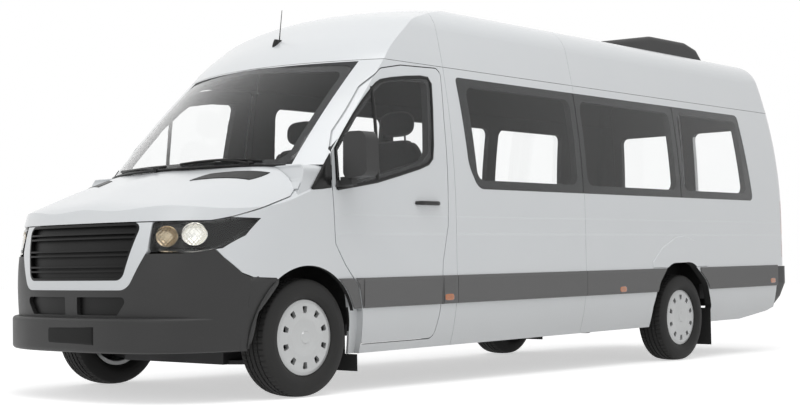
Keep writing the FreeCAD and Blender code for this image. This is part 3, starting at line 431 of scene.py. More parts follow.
STEEL = metal("chassis_steel", (0.05, 0.05, 0.052, 1), 0.6, metallic=0.3)
IRON = metal("cast_iron", (0.045, 0.04, 0.037, 1), 0.7, metallic=0.4)
SILVER = metal("wheel_paint", (0.60, 0.61, 0.61, 1), 0.34, metallic=0.35)
TANK = grained("tank_plastic", grey(0.012), grey(0.02), 300.0, 0.6)
EXHAUST = metal("exhaust_steel", (0.16, 0.13, 0.11, 1), 0.5, metallic=0.8)
print("finishes:", len(bpy.data.materials))

# %% [markdown]
# Tail lamps are one moulding with zones of red, clear and amber. The zones are bands of
# height, and the ribbed optics inside the lens become fine vertical lines in the bump.

# %% Tail lamp finish


def banded_lamp(name):
    """Red lamp with a clear band, ribbed: bump = |sin| of the place across the lamp."""
    finish = Finish(name, IOR=1.5, Coat_Weight=1.0, Coat_Roughness=0.03)
    x, y, z = finish.place(level=True)
    clear_band = (z > 0.93) * (z < 1.0)
    amber_band = (z > 1.0) * (z < 1.09)
    ribs = finish.sum("SINE", (x + y) * 900.0, 0)
    colour = finish.blend(finish.noise(40.0), (0.30, 0.012, 0.010, 1), (0.20, 0.008, 0.008, 1))
    colour = finish.blend(clear_band, colour, (0.45, 0.40, 0.40, 1))
    colour = finish.blend(amber_band, colour, (0.50, 0.13, 0.02, 1))
    return finish.done(colour, 0.16 + finish.noise(20.0) * 0.1, ribs, 0.25)


TAIL = banded_lamp("tail_lamp")
amber = Finish("amber_lamp", IOR=1.5, Coat_Weight=1.0, Coat_Roughness=0.05)
AMBER = amber.done(amber.blend(amber.noise(60.0), (0.50, 0.14, 0.015, 1), (0.36, 0.09, 0.01, 1)),
                   0.2 + amber.noise(30.0) * 0.1,
                   amber.sum("SINE", amber.place()[1] * 1500.0), 0.3, 0.0006)
print("lamp finishes ready")

# %% [markdown]
# Every solid of the frame now gets its finish. A table from node to finish is easier to
# read and to change than a chain of tests.

# %% Dress the frame
DRESS = {
    "roof_panel": PAINT, "roof_cap": PAINT_CAB, "body_side_left": PAINT_SIDE, "body_side_right": PAINT_SIDE,
    "sliding_door": PAINT_SIDE, "cab_frame": PAINT_CAB, "front_door_left": PAINT_DOOR,
    "front_door_right": PAINT_DOOR, "bonnet": PAINT_NOSE, "front_fenders": PAINT_NOSE,
    "grille_surround": PAINT_NOSE, "rear_door_left": PAINT, "rear_door_right": PAINT,
    "front_bumper": BUMPER, "rear_bumper": BUMPER, "side_strips": STRIP,
    "door_strip_left": STRIP, "door_strip_right": STRIP, "grille": GRILLE, "intake_grille": GRILLE,
    "cab_floor": INNER, "chassis_frame": STEEL,
    "roof_air_unit": grained("air_unit_plastic", grey(0.030), grey(0.045), 300.0, 0.5),
    "mirror_left": grained("mirror_plastic", grey(0.035), grey(0.050), 500.0, 0.5),
    "side_glass": GLASS, "windscreen": GLASS, "door_glass_left": GLASS, "door_glass_right": GLASS,
    "rear_glass_left": GLASS, "rear_glass_right": GLASS, "tail_lamps": TAIL, "headlamps": LENS,
    "floor": grained("floor_covering", grey(0.016), grey(0.026), 200.0, 0.7), "dashboard": INNER,
    "steering_column": INNER,
    "steering_wheel": grained("wheel_rim_leather", grey(0.012), grey(0.02), 400.0, 0.5),
    "cab_seats": INNER, "engine_block": IRON, "fuel_tank": TANK, "exhaust": EXHAUST, "front_axle": STEEL,
    "rear_axle": STEEL, "knuckle_left": STEEL, "knuckle_right": STEEL, "mudflaps": RUBBER,
}
for corner in ("front_left", "front_right", "rear_left", "rear_right"):
    DRESS["tyre_" + corner] = RUBBER
    DRESS["rim_" + corner] = SILVER
for name, thing in nodes.items():
    finish = DRESS.get(name, BLACK)
    if not thing.material_slots:
        thing.data.materials.append(finish)
    for slot in thing.material_slots:
        slot.material = finish
print("dressed", len(nodes), "solids; no finish for", sorted(set(nodes) - set(DRESS)))

# %% [markdown]
# The solids carry the form of the vehicle, but up close it lives on small pieces. All of them
# are surfaces: a grid of points worked out by a formula, and the quads between its points.
# Four ways of making such a grid are enough here: a bar along a path, a plate built up in
# rings, a section turned about an axle, and a sheet over a rectangle of two parameters.

# %% Surfaces from arrays
import bmesh


def grid_faces(rows, columns, ring=False, loop=False):
    """Quads between neighbouring grid points; ring closes each row, loop joins the last row to the first."""
    r, c = np.meshgrid(np.arange(rows if loop else rows - 1), np.arange(columns if ring else columns - 1),
                       indexing="ij")
    after = (r + 1) % rows
    beside = (c + 1) % columns
    return np.stack([r * columns + c, r * columns + beside, after * columns + beside, after * columns + c],
                    axis=-1).reshape(-1, 4)


def merged(*surfaces):
    """Several (points, faces) surfaces as one."""
    flat = [points.reshape(-1, 3) for points, faces in surfaces]
    starts = np.cumsum([0] + [len(points) for points in flat])
    shifted = [faces + start for (points, faces), start in zip(surfaces, starts)]
    return np.concatenate(flat), np.concatenate(shifted)


def curve(points, steps=8):
    """Smooth curve: on each span a cubic through its two ends, aimed at their neighbours."""
    p = np.asarray(points, dtype=float)
    p = np.concatenate([2 * p[:1] - p[1:2], p, 2 * p[-1:] - p[-2:-1]])
    t = np.linspace(0, 1, steps, endpoint=False)[None, :, None]
    a, b, c, d = (p[i:len(p) - 3 + i, None] for i in range(4))
    spans = b + 0.5 * t * (c - a + t * (2 * a - 5 * b + 4 * c - d + t * (3 * b - a - 3 * c + d)))
    return np.concatenate([spans.reshape(-1, p.shape[1]), p[-2:-1]])


def oval(a, b, power=2.0, count=40):
    """Superellipse: u = a sgn(cos) |cos|^(2/power), v = b sgn(sin) |sin|^(2/power)."""
    turn = np.linspace(0, 2 * math.pi, count, endpoint=False)
    c, s = np.cos(turn), np.sin(turn)
    across, along = (np.sign(v) * np.abs(v) ** (2 / power) for v in (c, s))
    return np.stack([a * across, b * along], axis=-1)


def bar(path, radius, sides=12, up=(0, 0, 1.0), flat=1.0):
    """Bar along a path: point + r (cos a side + flat sin a top), with side = tangent x up.

    Each end is closed to a point."""
    path = np.asarray(path, dtype=float)
    tangent = np.gradient(path, axis=0)
    side = np.cross(tangent, up)
    side /= np.linalg.norm(side, axis=1, keepdims=True)
    top = np.cross(side, tangent)
    top /= np.linalg.norm(top, axis=1, keepdims=True)
    turn = np.linspace(0, 2 * math.pi, sides, endpoint=False)[None, :, None]
    size = np.broadcast_to(np.asarray(radius, dtype=float), (len(path),))[:, None, None]
    rings = path[:, None] + size * (np.cos(turn) * side[:, None] + flat * np.sin(turn) * top[:, None])
    first = np.broadcast_to(path[:1, None], (1, sides, 3))
    last = np.broadcast_to(path[-1:, None], (1, sides, 3))
    rings = np.concatenate([first, rings, last])
    return rings, grid_faces(len(rings), sides, ring=True)


def stack(outline, steps, centre, u=(0, 1.0, 0), v=(0, 0, 1.0)):
    """Closed plate in rings: a step is (how far the outline is pulled in, height along u x v)."""
    outline = np.asarray(outline, dtype=float)
    middle = outline.mean(axis=0)
    arm = outline - middle
    reach = np.linalg.norm(arm, axis=1)
    inset, height = np.array([(np.inf, steps[0][1])] + list(steps) + [(np.inf, steps[-1][1])]).T
    share = np.clip(1 - inset[:, None] / reach[None, :], 0, None)[:, :, None]
    flat = middle + arm[None] * share
    u, v = np.array(u, dtype=float), np.array(v, dtype=float)
    lift = height[:, None, None] * np.cross(u, v)
    points = np.asarray(centre) + flat[..., :1] * u + flat[..., 1:] * v + lift
    return points, grid_faces(len(points), len(outline), ring=True)


def turned(section, turns=48, loop=False):
    """Section (along, radius) turned about the X axis: (along, r cos a, r sin a)."""
    section = np.asarray(section, dtype=float)
    angle = np.linspace(0, 2 * math.pi, turns, endpoint=False)[None, :]
    along, radius = section[:, :1], section[:, 1:]
    points = np.stack([along + 0 * angle, radius * np.cos(angle), radius * np.sin(angle)], axis=-1)
    return points, grid_faces(len(section), turns, ring=True, loop=loop)


def piece(name, surface, finish, body="body", sharp=35.0, wall=0.0):
    """Object from a surface: doubles merged, faces outward, smooth up to the sharp angle, on a body."""
    points, faces = surface
    mesh = bpy.data.meshes.new(name)
    mesh.from_pydata(points.reshape(-1, 3).tolist(), [], faces.tolist())
    work = bmesh.new()
    work.from_mesh(mesh)
    bmesh.ops.remove_doubles(work, verts=work.verts, dist=2e-5)
    bmesh.ops.dissolve_degenerate(work, edges=work.edges, dist=1e-6)
    bmesh.ops.recalc_face_normals(work, faces=work.faces)
    work.to_mesh(mesh)
    work.free()
    mesh.shade_smooth()
    mesh.set_sharp_from_angle(angle=math.radians(sharp))
    mesh.materials.append(finish)
    thing = bpy.data.objects.new(name, mesh)
    bpy.context.scene.collection.objects.link(thing)
    if wall:
        solid = thing.modifiers.new("wall", "SOLIDIFY")
        solid.thickness = wall
        solid.offset = -1.0
    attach(thing, body)
    print("%s: %d faces on %s" % (name, len(mesh.polygons), body))
    return thing


def fitted(surface, side=1):
    """A surface in level body coordinates, mirrored for side -1 and turned to its place."""
    points, faces = surface
    return raked(points * (side, 1.0, 1.0)), faces


# %% [markdown]
# A tyre on a road vehicle is read by its tread and by the faint rings on its side wall. The
# tread is not drawn but cut: each point of the turned section is lowered where it falls in
# one of four grooves round the tyre or in a slot across its shoulder.

# %% Tyres
HUB_Z = 0.345
TRACK_HALF = 0.855
AXLES = {"front": -2.6795, "rear": 1.6455}
TREAD_HALF = 0.0885
GROOVES = np.array([-0.052, -0.018, 0.018, 0.052])
GROOVE_HALF, GROOVE_DEEP = 0.0045, 0.0075
BLOCKS, BLOCK_STEPS = 60, 4
TYRE_RADIUS, CROWN, SLOT_DEEP = 0.345, 0.007, 0.005


def tyre_section():
    """Closed section from bead to bead: side walls and a barrel tread, radius - crown |x / half|^2.5."""
    edges = np.concatenate([GROOVES - GROOVE_HALF - 0.0006, GROOVES - GROOVE_HALF, GROOVES + GROOVE_HALF,
                            GROOVES + GROOVE_HALF + 0.0006])
    x = np.sort(np.concatenate([edges, np.linspace(-TREAD_HALF, TREAD_HALF, 9)]))
    tread = np.stack([x, TYRE_RADIUS - CROWN * np.abs(x / TREAD_HALF) ** 2.5], axis=-1)
    wall = curve([(TREAD_HALF, 0.338), (0.1005, 0.3295), (0.1105, 0.310), (0.1165, 0.285), (0.1150, 0.258),
                  (0.1040, 0.236), (0.0900, 0.2235), (0.0727, 0.2190)], 4)[1:]
    ridge = 0.0009 * (np.abs(np.sin((wall[:, 1] - 0.23) * math.pi / 0.0215)) < 0.25)
    wall = wall + np.stack([ridge, 0 * ridge], axis=-1)
    bead = np.array([(0.0727, 0.2046)])
    half_wall = np.concatenate([wall, bead])
    return np.concatenate([tread, half_wall, (half_wall * (-1, 1))[::-1]])


def tyre_surface(hub, side):
    """Turned section, lowered by the groove's depth in a groove and the slot's across the shoulders."""
    section = tyre_section()
    points, faces = turned(section, BLOCKS * BLOCK_STEPS, loop=True)
    x = section[:, 0][:, None]
    on_tread = (section[:, 1][:, None] > 0.3375) & (np.abs(x) <= TREAD_HALF + 0.001)
    in_groove = (np.abs(x - GROOVES[:, None, None]) < GROOVE_HALF + 0.0001).any(axis=0)
    step = np.arange(BLOCKS * BLOCK_STEPS)[None, :]
    across = (step + 2 * (np.abs(x) > 0.035)) % BLOCK_STEPS == 0
    slot = across & (np.abs(x) > 0.0225)
    deep = np.where(on_tread & (in_groove | slot), GROOVE_DEEP, 0.0)
    deep = np.where(on_tread & slot & ~in_groove, SLOT_DEEP, deep)
    radius = np.hypot(points[..., 1], points[..., 2])
    points[..., 1:] *= ((radius - deep) / radius)[..., None]
    return points * (side, 1, 1) + hub, faces


def rubber(name):
    """Tyre rubber: nearly black, a little brown and dusty, with fine radial grain."""
    finish = Finish(name, IOR=1.5, Specular_IOR_Level=0.35)
    cloud = finish.noise(5.0, 4.0)
    colour = finish.blend(cloud, grey(0.013), grey(0.026, (1.0, 0.98, 0.95)))
    return finish.done(colour, 0.62 + cloud * 0.2, finish.noise(260.0, 2.0), 0.25, 0.0008)


TYRE = rubber("tyre_rubber")
for axle, y in AXLES.items():
    for hand_name, side in (("left", 1), ("right", -1)):
        corner = axle + "_" + hand_name
        hub = grounded((side * TRACK_HALF, y, HUB_Z))
        tyre = piece("tyre_tread_" + corner, tyre_surface(hub, side), TYRE, "wheel_" + corner,
                     sharp=30.0)
        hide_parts("tyre_" + corner)

# %% [markdown]
# Behind each wheel cover sits the dark steel wheel. One small turned dish per wheel gives
# the ten windows something to look into, and the valve peeps out between two of them.

# %% Wheel discs and valves
DISH = [(0.0, 0.0), (0.012, 0.0), (0.028, 0.11), (0.024, 0.150), (0.040, 0.186), (0.036, 0.1885),
        (0.018, 0.152), (0.020, 0.11), (0.004, 0.052)]
DISH_OUT = 0.022
VALVE = [(0.036, 0.158, 0.012), (0.056, 0.158, 0.014), (0.068, 0.158, 0.015)]
valve = bar(VALVE, [0.004, 0.004, 0.003], up=(0, 1.0, 0))
dish_points, dish_faces = merged(turned(DISH, 64, loop=True), valve)
for axle, y in AXLES.items():
    for hand_name, side in (("left", 1), ("right", -1)):
        corner = axle + "_" + hand_name
        hub = grounded((side * (TRACK_HALF + DISH_OUT), y, HUB_Z))
        piece("wheel_disc_" + corner, (dish_points * (side, 1, 1) + hub, dish_faces), STEEL,
              "wheel_" + corner)

# %% [markdown]
# A headlamp is a clear lens over a dark tray with two bright bowls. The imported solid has
# exactly the lens's outline, so its own triangles are sorted by which way they face: those
# that look forward become the lens, and the others, pushed inside out, the tray behind it.

# %% Headlamps


def node_arrays(name):
    """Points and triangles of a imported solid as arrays."""
    mesh = nodes[name].data
    points = np.empty(len(mesh.vertices) * 3)
    mesh.vertices.foreach_get("co", points)
    corners = np.empty(len(mesh.loops), dtype=int)
    mesh.loops.foreach_get("vertex_index", corners)
    return points.reshape(-1, 3), corners.reshape(-1, 3)


TAPER_Y = -2.65
NOSE_Z = [0.15, 0.5, 0.8, 1.0, 1.2, 1.5]
NOSE_DEEP = [0.935, 0.960, 0.957, 0.920, 0.840, 0.660]


def nose_y(x, z):
    """Front of the nose at x and z: taper - deep (1 - |x / wide|^3)^(1/3)."""
    deep = np.interp(z, NOSE_Z, NOSE_DEEP)
    return TAPER_Y - deep * np.cbrt(1 - np.abs(np.asarray(x) / side_x(z)) ** 3)


lamp_points, lamp_faces = node_arrays("headlamps")
a, b, c = (lamp_points[lamp_faces[:, i]] for i in range(3))
facing = np.cross(b - a, c - a)
facing /= np.maximum(np.linalg.norm(facing, axis=1, keepdims=True), 1e-12)
front_faces = facing[:, 1] < -0.05
CLEAR = glazing("headlamp_lens", (0.97, 0.98, 0.98, 1), 0.01)
TRAY = grained("lamp_tray", grey(0.006), grey(0.012), 300.0, 0.3, 0.1, 0.3)
lenses = piece("headlamp_lenses", (lamp_points, lamp_faces[front_faces]), CLEAR,
               wall=0.003)
piece("headlamp_trays", (lamp_points, lamp_faces[~front_faces][:, ::-1]), TRAY)
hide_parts("headlamps")
BOWL_STRETCH = 1.12


def bowl(x, z, radius, deep, back):
    """Reflector square to the lens, its rim at the depth back: r = R sqrt(t) inside, a cone outside."""
    t = np.linspace(0, 1, 14)
    inside = np.stack([-deep * (1 - t), radius * np.sqrt(t)], axis=-1)
    outside = np.array([(0.002, radius + 0.002), (0.0, radius + 0.004), (-deep, radius * 0.6),
                        (-deep - 0.006, 0.0)])
    points, faces = turned(np.concatenate([inside, outside]), 48)
    tilt = math.atan2(float(nose_y(x + 0.03, z) - nose_y(x - 0.03, z)), 0.06)
    outward = np.array([math.sin(tilt), -math.cos(tilt), 0.0])
    across = np.array([math.cos(tilt), math.sin(tilt), 0.0])
    centre = np.array([x, float(nose_y(x, z)), z]) - outward * back
    wide = points[..., 1:2] * across * BOWL_STRETCH
    placed = centre + points[..., :1] * outward + wide + points[..., 2:] * (0, 0, 1.0)
    return placed, faces


def chrome(name, bright, dim):
    """Vapour-plated plastic with facets: bump = sin(x) sin(z) pressed into the bowl."""
    finish = Finish(name)
    x, y, z = finish.place(level=True)
    facets = finish.sum("SINE", (x + y) * 200.0, 0) * finish.sum("SINE", z * 260.0, 0)
    finish.feed("Metallic", 1.0 - finish.noise(8.0) * 0.05)
    colour = finish.blend(finish.noise(30.0), bright, dim)
    return finish.done(colour, 0.16 + finish.noise(50.0) * 0.10, facets, 0.5, 0.002)


CHROMES = {"main": chrome("lamp_chrome", (0.92, 0.90, 0.86, 1), (0.80, 0.78, 0.72, 1)),
           "turn": chrome("lamp_chrome_warm", (0.50, 0.42, 0.30, 1), (0.36, 0.29, 0.20, 1))}
BOWLS = {"main": (0.800, 0.985, 0.060, 0.038, 0.010), "turn": (0.672, 0.975, 0.054, 0.038, 0.010)}
guide_x, guide_z = np.array([(0.62, 0.912), (0.70, 0.906), (0.80, 0.903), (0.885, 0.925), (0.935, 0.985)]).T
guide = curve(np.stack([guide_x, nose_y(guide_x, guide_z) + 0.022, guide_z], axis=-1), 8)
for side, hand_name in SIDES:
    for use, sizes in BOWLS.items():
        piece("reflector_%s_%s" % (use, hand_name), fitted(bowl(*sizes), side), CHROMES[use],
              sharp=60.0)
    piece("light_guide_" + hand_name, fitted(bar(guide, 0.004), side), CLEAR)

# %% [markdown]
# The side marker lamps sit in the rub strip, about as long as a finger, with rounded ends.
# They and the cups of the door handles are plates built up in rings: pulled in a little at
# the foot and the top, which rounds the edges without a bevel.

# %% Marker lamps and handles
MARKERS = [(-1.40, 0.579), (0.70, 0.572), (3.19, 0.583)]
STRIP_X = 1.0078
MARKER_STEPS = [(0.0, -0.004), (0.0, 0.0008), (0.004, 0.0022), (0.014, 0.0022)]
for y, z in MARKERS:
    for side, hand_name in SIDES:
        plate = stack(oval(0.046, 0.021, 3.5), MARKER_STEPS, (STRIP_X, y, z))
        piece("marker_%s_%s" % (hand_name, str(int(round(y * 100))).replace("-", "n")),
              fitted(plate, side), AMBER)

HANDLE_DARK = grained("handle_plastic", grey(0.014), grey(0.022), 500.0, 0.35, 0.2)


def handle(y, z, half, proud):
    """Grip and the shallow cup behind it: a flat bar stood off the panel by 1 - s^6 along its length."""
    s = np.linspace(-1, 1, 25)
    x = side_x(z) - 0.002 + (proud - 0.006) * np.clip(1.0 - s ** 6, 0, 1)
    grip = bar(np.stack([x, y + s * half, z + 0.0 * s], axis=-1), 0.0135 * (1 - 0.25 * s ** 8), sides=16,
               flat=0.45 if proud < 0.02 else 0.6, up=(1.0, 0, 0))
    cup_steps = [(0.0, -0.001), (0.0, 0.0010), (0.003, 0.0016), (0.02, 0.0005)]
    cup = stack(oval(half * 0.72, 0.032, 2.6, 48), cup_steps, (float(side_x(z)), y, z - 0.004))
    return grip, cup


HANDLES = [("front_door_left", 1, -1.600, 1.180, "door_left", 0.034),
           ("front_door_right", -1, -1.600, 1.180, "door_right", 0.0105),
           ("sliding_door", -1, -1.090, 1.160, "body", 0.0105)]
for name, side, y, z, body, proud in HANDLES:
    grip, cup = handle(y, z, 0.118, proud)
    piece("handle_" + name, fitted(grip, side), HANDLE_DARK, body)
    piece("handle_cup_" + name, fitted(cup, side), PAINT_NOSE, body)

# %% [markdown]
# The rub strip runs on to the front wheel arch and up to the slanted door edges as flat
# cladding. Each piece is an outline on the side of the body, filled from its middle and
# given a wall by Solidify. Ahead of the front wheel the bumper reaches back to the arch
# along the curved nose, so there the half width comes from the superellipse of the nose.

# %% Cladding
ARCH_R = 0.4165


def nose_x(y, z):
    """Half width of the nose: wide (1 - (d / deep)^3)^(1/3), d the distance ahead of the taper line."""
    deep = np.interp(z, NOSE_Z, NOSE_DEEP)
    ahead = np.clip(TAPER_Y - np.asarray(y, dtype=float), 0, None)
    return side_x(z) * np.cbrt(1 - (ahead / deep) ** 3)


def filled(outline, proud, rings=6):
    """Sheet on the side of the body inside an outline (y, z): rings shrinking to its middle."""
    outline = np.asarray(outline, dtype=float)
    share = np.linspace(1, 0, rings)[:, None, None]
    flat = outline.mean(axis=0) + (outline - outline.mean(axis=0)) * share
    x = nose_x(flat[..., 0], flat[..., 1]) + proud
    return np.stack([x, flat[..., 0], flat[..., 1]], axis=-1), grid_faces(rings, len(outline), ring=True)


def arch_line(low, high, side):
    """Points of the front arch between two heights, on its rear (1) or front (-1) side."""
    z = np.linspace(low, high, 12)
    return np.stack([ARCH_Y + side * np.sqrt(ARCH_R ** 2 - np.clip(z - ARCH_Z, 0, None) ** 2), z], axis=-1)


STRIP_LOW, STRIP_HIGH = 0.536, 0.719
behind_arch = np.concatenate([arch_line(STRIP_LOW, STRIP_HIGH, 1), [(-2.309, STRIP_HIGH), (-2.271, 0.677),
                                                                    (-2.232, STRIP_LOW)]])
door_nose = np.array([(-2.291, STRIP_HIGH), (-2.214, STRIP_HIGH), (-2.214, STRIP_LOW), (-2.219, STRIP_LOW),
                      (-2.236, 0.600), (-2.256, 0.677)])
door_tail = np.array([(-1.476, STRIP_HIGH), (-1.4615, STRIP_HIGH), (-1.4745, STRIP_LOW),
                      (-1.476, STRIP_LOW)])
sill_tail = np.array([(-1.4535, STRIP_HIGH), (-1.451, STRIP_HIGH), (-1.451, STRIP_LOW),
                      (-1.466, STRIP_LOW)])
bumper_back = [(-3.060, 0.746), (-3.112, 0.742), (-3.120, 0.60), (-3.125, 0.42), (-3.095, 0.345)]
ahead_of_arch = np.concatenate([arch_line(0.345, 0.742, -1), bumper_back])
for side, hand_name in SIDES:
    pieces = {"arch_cladding": (behind_arch, 0.007, STRIP, "body", 0.002),
              "strip_nose": (door_nose, 0.007, STRIP, "door_" + hand_name, 0.002),
              "strip_tail": (door_tail, 0.009, STRIP, "door_" + hand_name, 0.008),
              "strip_joint": (sill_tail, 0.009, STRIP, "body", 0.008),
              "bumper_flare": (ahead_of_arch, -0.0005, BUMPER, "body", 0.012)}
    for name, (line, proud, finish, body, wall) in pieces.items():
        piece("%s_%s" % (name, hand_name), fitted(filled(line, proud), side), finish, body,
              wall=wall)

# %% [markdown]
# Black trim frames the door window: a rubber lip round the glass, the bar that divides off
# the fixed quarter light, and the triangle on the fender that carries the line forward.

# %% Window frames


def on_side(y, z, proud):
    """Points on the body side, stood off by proud."""
    y, z = np.broadcast_arrays(np.asarray(y, dtype=float), np.asarray(z, dtype=float))
    return np.stack([side_x(z) + proud, y, z], axis=-1)


DOOR_PANE = np.array([(-2.432, 1.252), (-2.434, 1.490), (-2.344, 1.599), (-2.249, 1.701), (-2.150, 1.797),
                      (-2.048, 1.883), (-2.003, 1.917), (-1.955, 1.940), (-1.850, 1.961), (-1.700, 1.982),
                      (-1.560, 1.996), (-1.488, 1.994), (-1.462, 1.960), (-1.482, 1.790), (-1.510, 1.560),
                      (-1.528, 1.470), (-1.570, 1.434), (-1.660, 1.405), (-1.860, 1.356), (-2.076, 1.306),
                      (-2.250, 1.279)])
for side, hand_name in SIDES:
    loop_line = np.concatenate([DOOR_PANE, DOOR_PANE[:1]])
    lip = bar(on_side(loop_line[:, 0], loop_line[:, 1], 0.001), 0.011, sides=8, up=(1.0, 0, 0), flat=0.32)
    bar_line = curve([(-2.049, 1.895), (-2.056, 1.65), (-2.066, 1.315)], 6)
    divider = bar(on_side(bar_line[:, 0], bar_line[:, 1], 0.001), 0.016, sides=8, up=(1.0, 0, 0), flat=0.25)
    piece("window_lip_" + hand_name, fitted(merged(lip, divider), side), BLACK, "door_" + hand_name)

TRIANGLE = np.array([(-2.655, 1.250), (-2.640, 1.268), (-2.560, 1.372), (-2.485, 1.462), (-2.478, 1.440),
                     (-2.480, 1.340), (-2.482, 1.256), (-2.560, 1.246), (-2.640, 1.240)])
for side, hand_name in SIDES:
    rows = np.stack([TRIANGLE, TRIANGLE.mean(axis=0) + 0.0 * TRIANGLE])
    face = on_side(rows[..., 0], rows[..., 1], 0.0015)
    trim = (face, grid_faces(2, len(TRIANGLE), ring=True))
    piece("corner_trim_" + hand_name, fitted(trim, side), BLACK, "body", wall=0.003)

# %% [markdown]
# Wipers lie along the foot of the screen. The screen is a surface that bows back with the
# square of the distance from the middle, so the blade's line is written in x and z only and
# the formula finds the y, a finger's width in front of the glass.

# %% Wipers
SCREEN_Z = np.array([1.392, 1.748, 2.092])
SCREEN_FIT = np.polyfit(SCREEN_Z, [-2.900, -2.535, -2.150], 2)


def screen_y(x, z):
    """Screen: a parabola in z, moved back by the bow times x squared."""
    return np.polyval(SCREEN_FIT, z) + np.interp(z, SCREEN_Z, [0.37, 0.34, 0.32]) * np.asarray(x) ** 2


def on_screen(points, proud):
    """Points (x, z) on the screen, stood off forwards by proud."""
    x, z = np.asarray(points, dtype=float).T
    return np.stack([x, screen_y(x, z) - proud, z], axis=-1)


BLADES = {"driver": ([(0.66, 1.425), (0.45, 1.440), (0.25, 1.436), (0.10, 1.426)], (0.60, 1.408)),
          "passenger": ([(-0.02, 1.418), (-0.25, 1.420), (-0.48, 1.420), (-0.68, 1.428)], (-0.08, 1.400))}
for name, (line, pivot) in BLADES.items():
    line = curve(line, 10)
    middle = line[len(line) // 2]
    blade = bar(on_screen(line, 0.010), 0.0055, sides=8, flat=1.5)
    spine = bar(on_screen(line[4:-4], 0.020), 0.0040, sides=8)
    knee = (0.6 * pivot[0] + 0.4 * middle[0], 0.5 * pivot[1] + 0.5 * middle[1] + 0.004)
    arm_line = curve([pivot, knee, middle], 8)
    arm = bar(on_screen(arm_line, 0.026), np.linspace(0.010, 0.005, len(arm_line)), sides=10)
    knob = bar(on_screen([pivot, pivot], 0.0) + np.array([(0, 0.01, 0), (0, -0.034, 0)]), 0.016, sides=20)
    piece("wiper_" + name, fitted(merged(blade, spine, arm, knob)), BLACK, "body")

# %% [markdown]
# At the foot of the screen lies the cowl: a black rail along the glass that also hides the
# wiper spindles.

# %% Cowl
s = np.linspace(-0.80, 0.80, 41)
cowl_line = np.stack([s, screen_y(s, 1.396) - 0.008, 1.3985 - 0.006 * (s / 0.8) ** 4], axis=-1)
piece("cowl", fitted(bar(cowl_line, 0.017, sides=10, flat=0.5)), BLACK, "body")

# %% [markdown]
# The bonnet has a black air vent on each side, a slanted strip. It has to lie on the bonnet
# exactly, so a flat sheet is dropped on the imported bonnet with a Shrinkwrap, and the result
# is kept as a plain mesh.

# %% Bonnet vents
VENT = np.array([(0.429, -3.081), (0.766, -2.923), (0.782, -2.771), (0.461, -2.948)])
DROP_FROM = 1.6


def vent_sheet():
    """Bilinear sheet between four corners, 1.6 m up, with rounded narrow ends."""
    u, v = np.meshgrid(np.linspace(0, 1, 67), np.linspace(0, 1, 13), indexing="ij")
    u = u + 0.05 * (u - 0.5) * (1 - (2 * v - 1) ** 2)
    corner = VENT[:, None, None]
    plan = (1 - u)[..., None] * ((1 - v)[..., None] * corner[0] + v[..., None] * corner[3]) \
        + u[..., None] * ((1 - v)[..., None] * corner[1] + v[..., None] * corner[2])
    return np.concatenate([plan, np.full(plan.shape[:2] + (1,), DROP_FROM)], axis=-1), grid_faces(67, 13)


def dropped(thing, target, lift):
    """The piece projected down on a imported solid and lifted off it, with its modifiers applied."""
    wrap = thing.modifiers.new("drop", "SHRINKWRAP")
    wrap.target = target
    wrap.wrap_method = "PROJECT"
    wrap.use_project_z = True
    wrap.use_negative_direction = True
    wrap.use_positive_direction = False
    wrap.offset = lift
    thing.modifiers.move(len(thing.modifiers) - 1, 0)
    graph = bpy.context.evaluated_depsgraph_get()
    graph.update()
    mesh = bpy.data.meshes.new_from_object(thing.evaluated_get(graph))
    thing.modifiers.clear()
    thing.data = mesh
    return mesh


for side, hand_name in SIDES:
    vent = piece("bonnet_vent_" + hand_name, fitted(vent_sheet(), side), BLACK, "bonnet",
                 wall=0.004)
    heights = [v.co.z for v in dropped(vent, nodes["bonnet"], 0.003).vertices]
    print("  lies between z %.3f and %.3f" % (min(heights), max(heights)))

# %% [markdown]
# The front plate is blank. It follows the bumper's curve, so it is a sheet whose y comes
# from the same superellipse as the bumper's plan.

# %% Plates
PLATE_HALF, PLATE_LOW, PLATE_HIGH = 0.262, 0.378, 0.478
PLATE_SHIFT = 0.02
BAR_Z, BAR_DEEP, BAR_PROUD = 0.332, 1.032, 0.012


def bar_y(x):
    """Front of the foot bar: taper - deep (1 - |x / wide|^3)^(1/3), 12 mm outside the nose's own plan."""
    wide = side_x(BAR_Z) + BAR_PROUD
    return TAPER_Y - BAR_DEEP * np.cbrt(1 - np.abs(np.asarray(x) / wide) ** 3)


def front_plate():
    """Sheet over x and z, pulled back by 2 mm at its border so that its edge reads."""
    x, z = np.meshgrid(np.linspace(-PLATE_HALF, PLATE_HALF, 45), np.linspace(PLATE_LOW, PLATE_HIGH, 13),
                       indexing="ij")
    edge = np.minimum(PLATE_HALF - np.abs(x), np.minimum(z - PLATE_LOW, PLATE_HIGH - z))
    y = bar_y(x) - 0.0006 + 0.002 * (edge < 1e-6)
    return np.stack([x + PLATE_SHIFT, y, z], axis=-1), grid_faces(45, 13)


blank = Finish("blank_plate", IOR=1.5, Specular_IOR_Level=0.15)
PLATE = blank.done(blank.blend(blank.noise(12.0), grey(0.003), grey(0.005)),
                   0.30 + blank.noise(30.0) * 0.15, blank.noise(200.0), 0.1, 0.0004)
piece("front_plate", fitted(front_plate()), PLATE, wall=0.002)
rear_plate = stack(oval(0.260, 0.056, 9.0, 72), [(0.0, 0.0), (0.0, 0.004), (0.003, 0.006), (0.02, 0.006)],
                   (0.0, 3.6755, 0.600), u=(-1.0, 0, 0))
piece("rear_plate", fitted(rear_plate), PLATE)

# %% [markdown]
# The rear doors hang on external hinges, are pulled by one handle, and a red lamp sits above
# them. These are small stacked plates on the rear face, which is slightly domed.

# %% Rear fittings


REAR_FACE, REAR_ARC, REAR_WAIST = 3.5, 5.0, 1.25


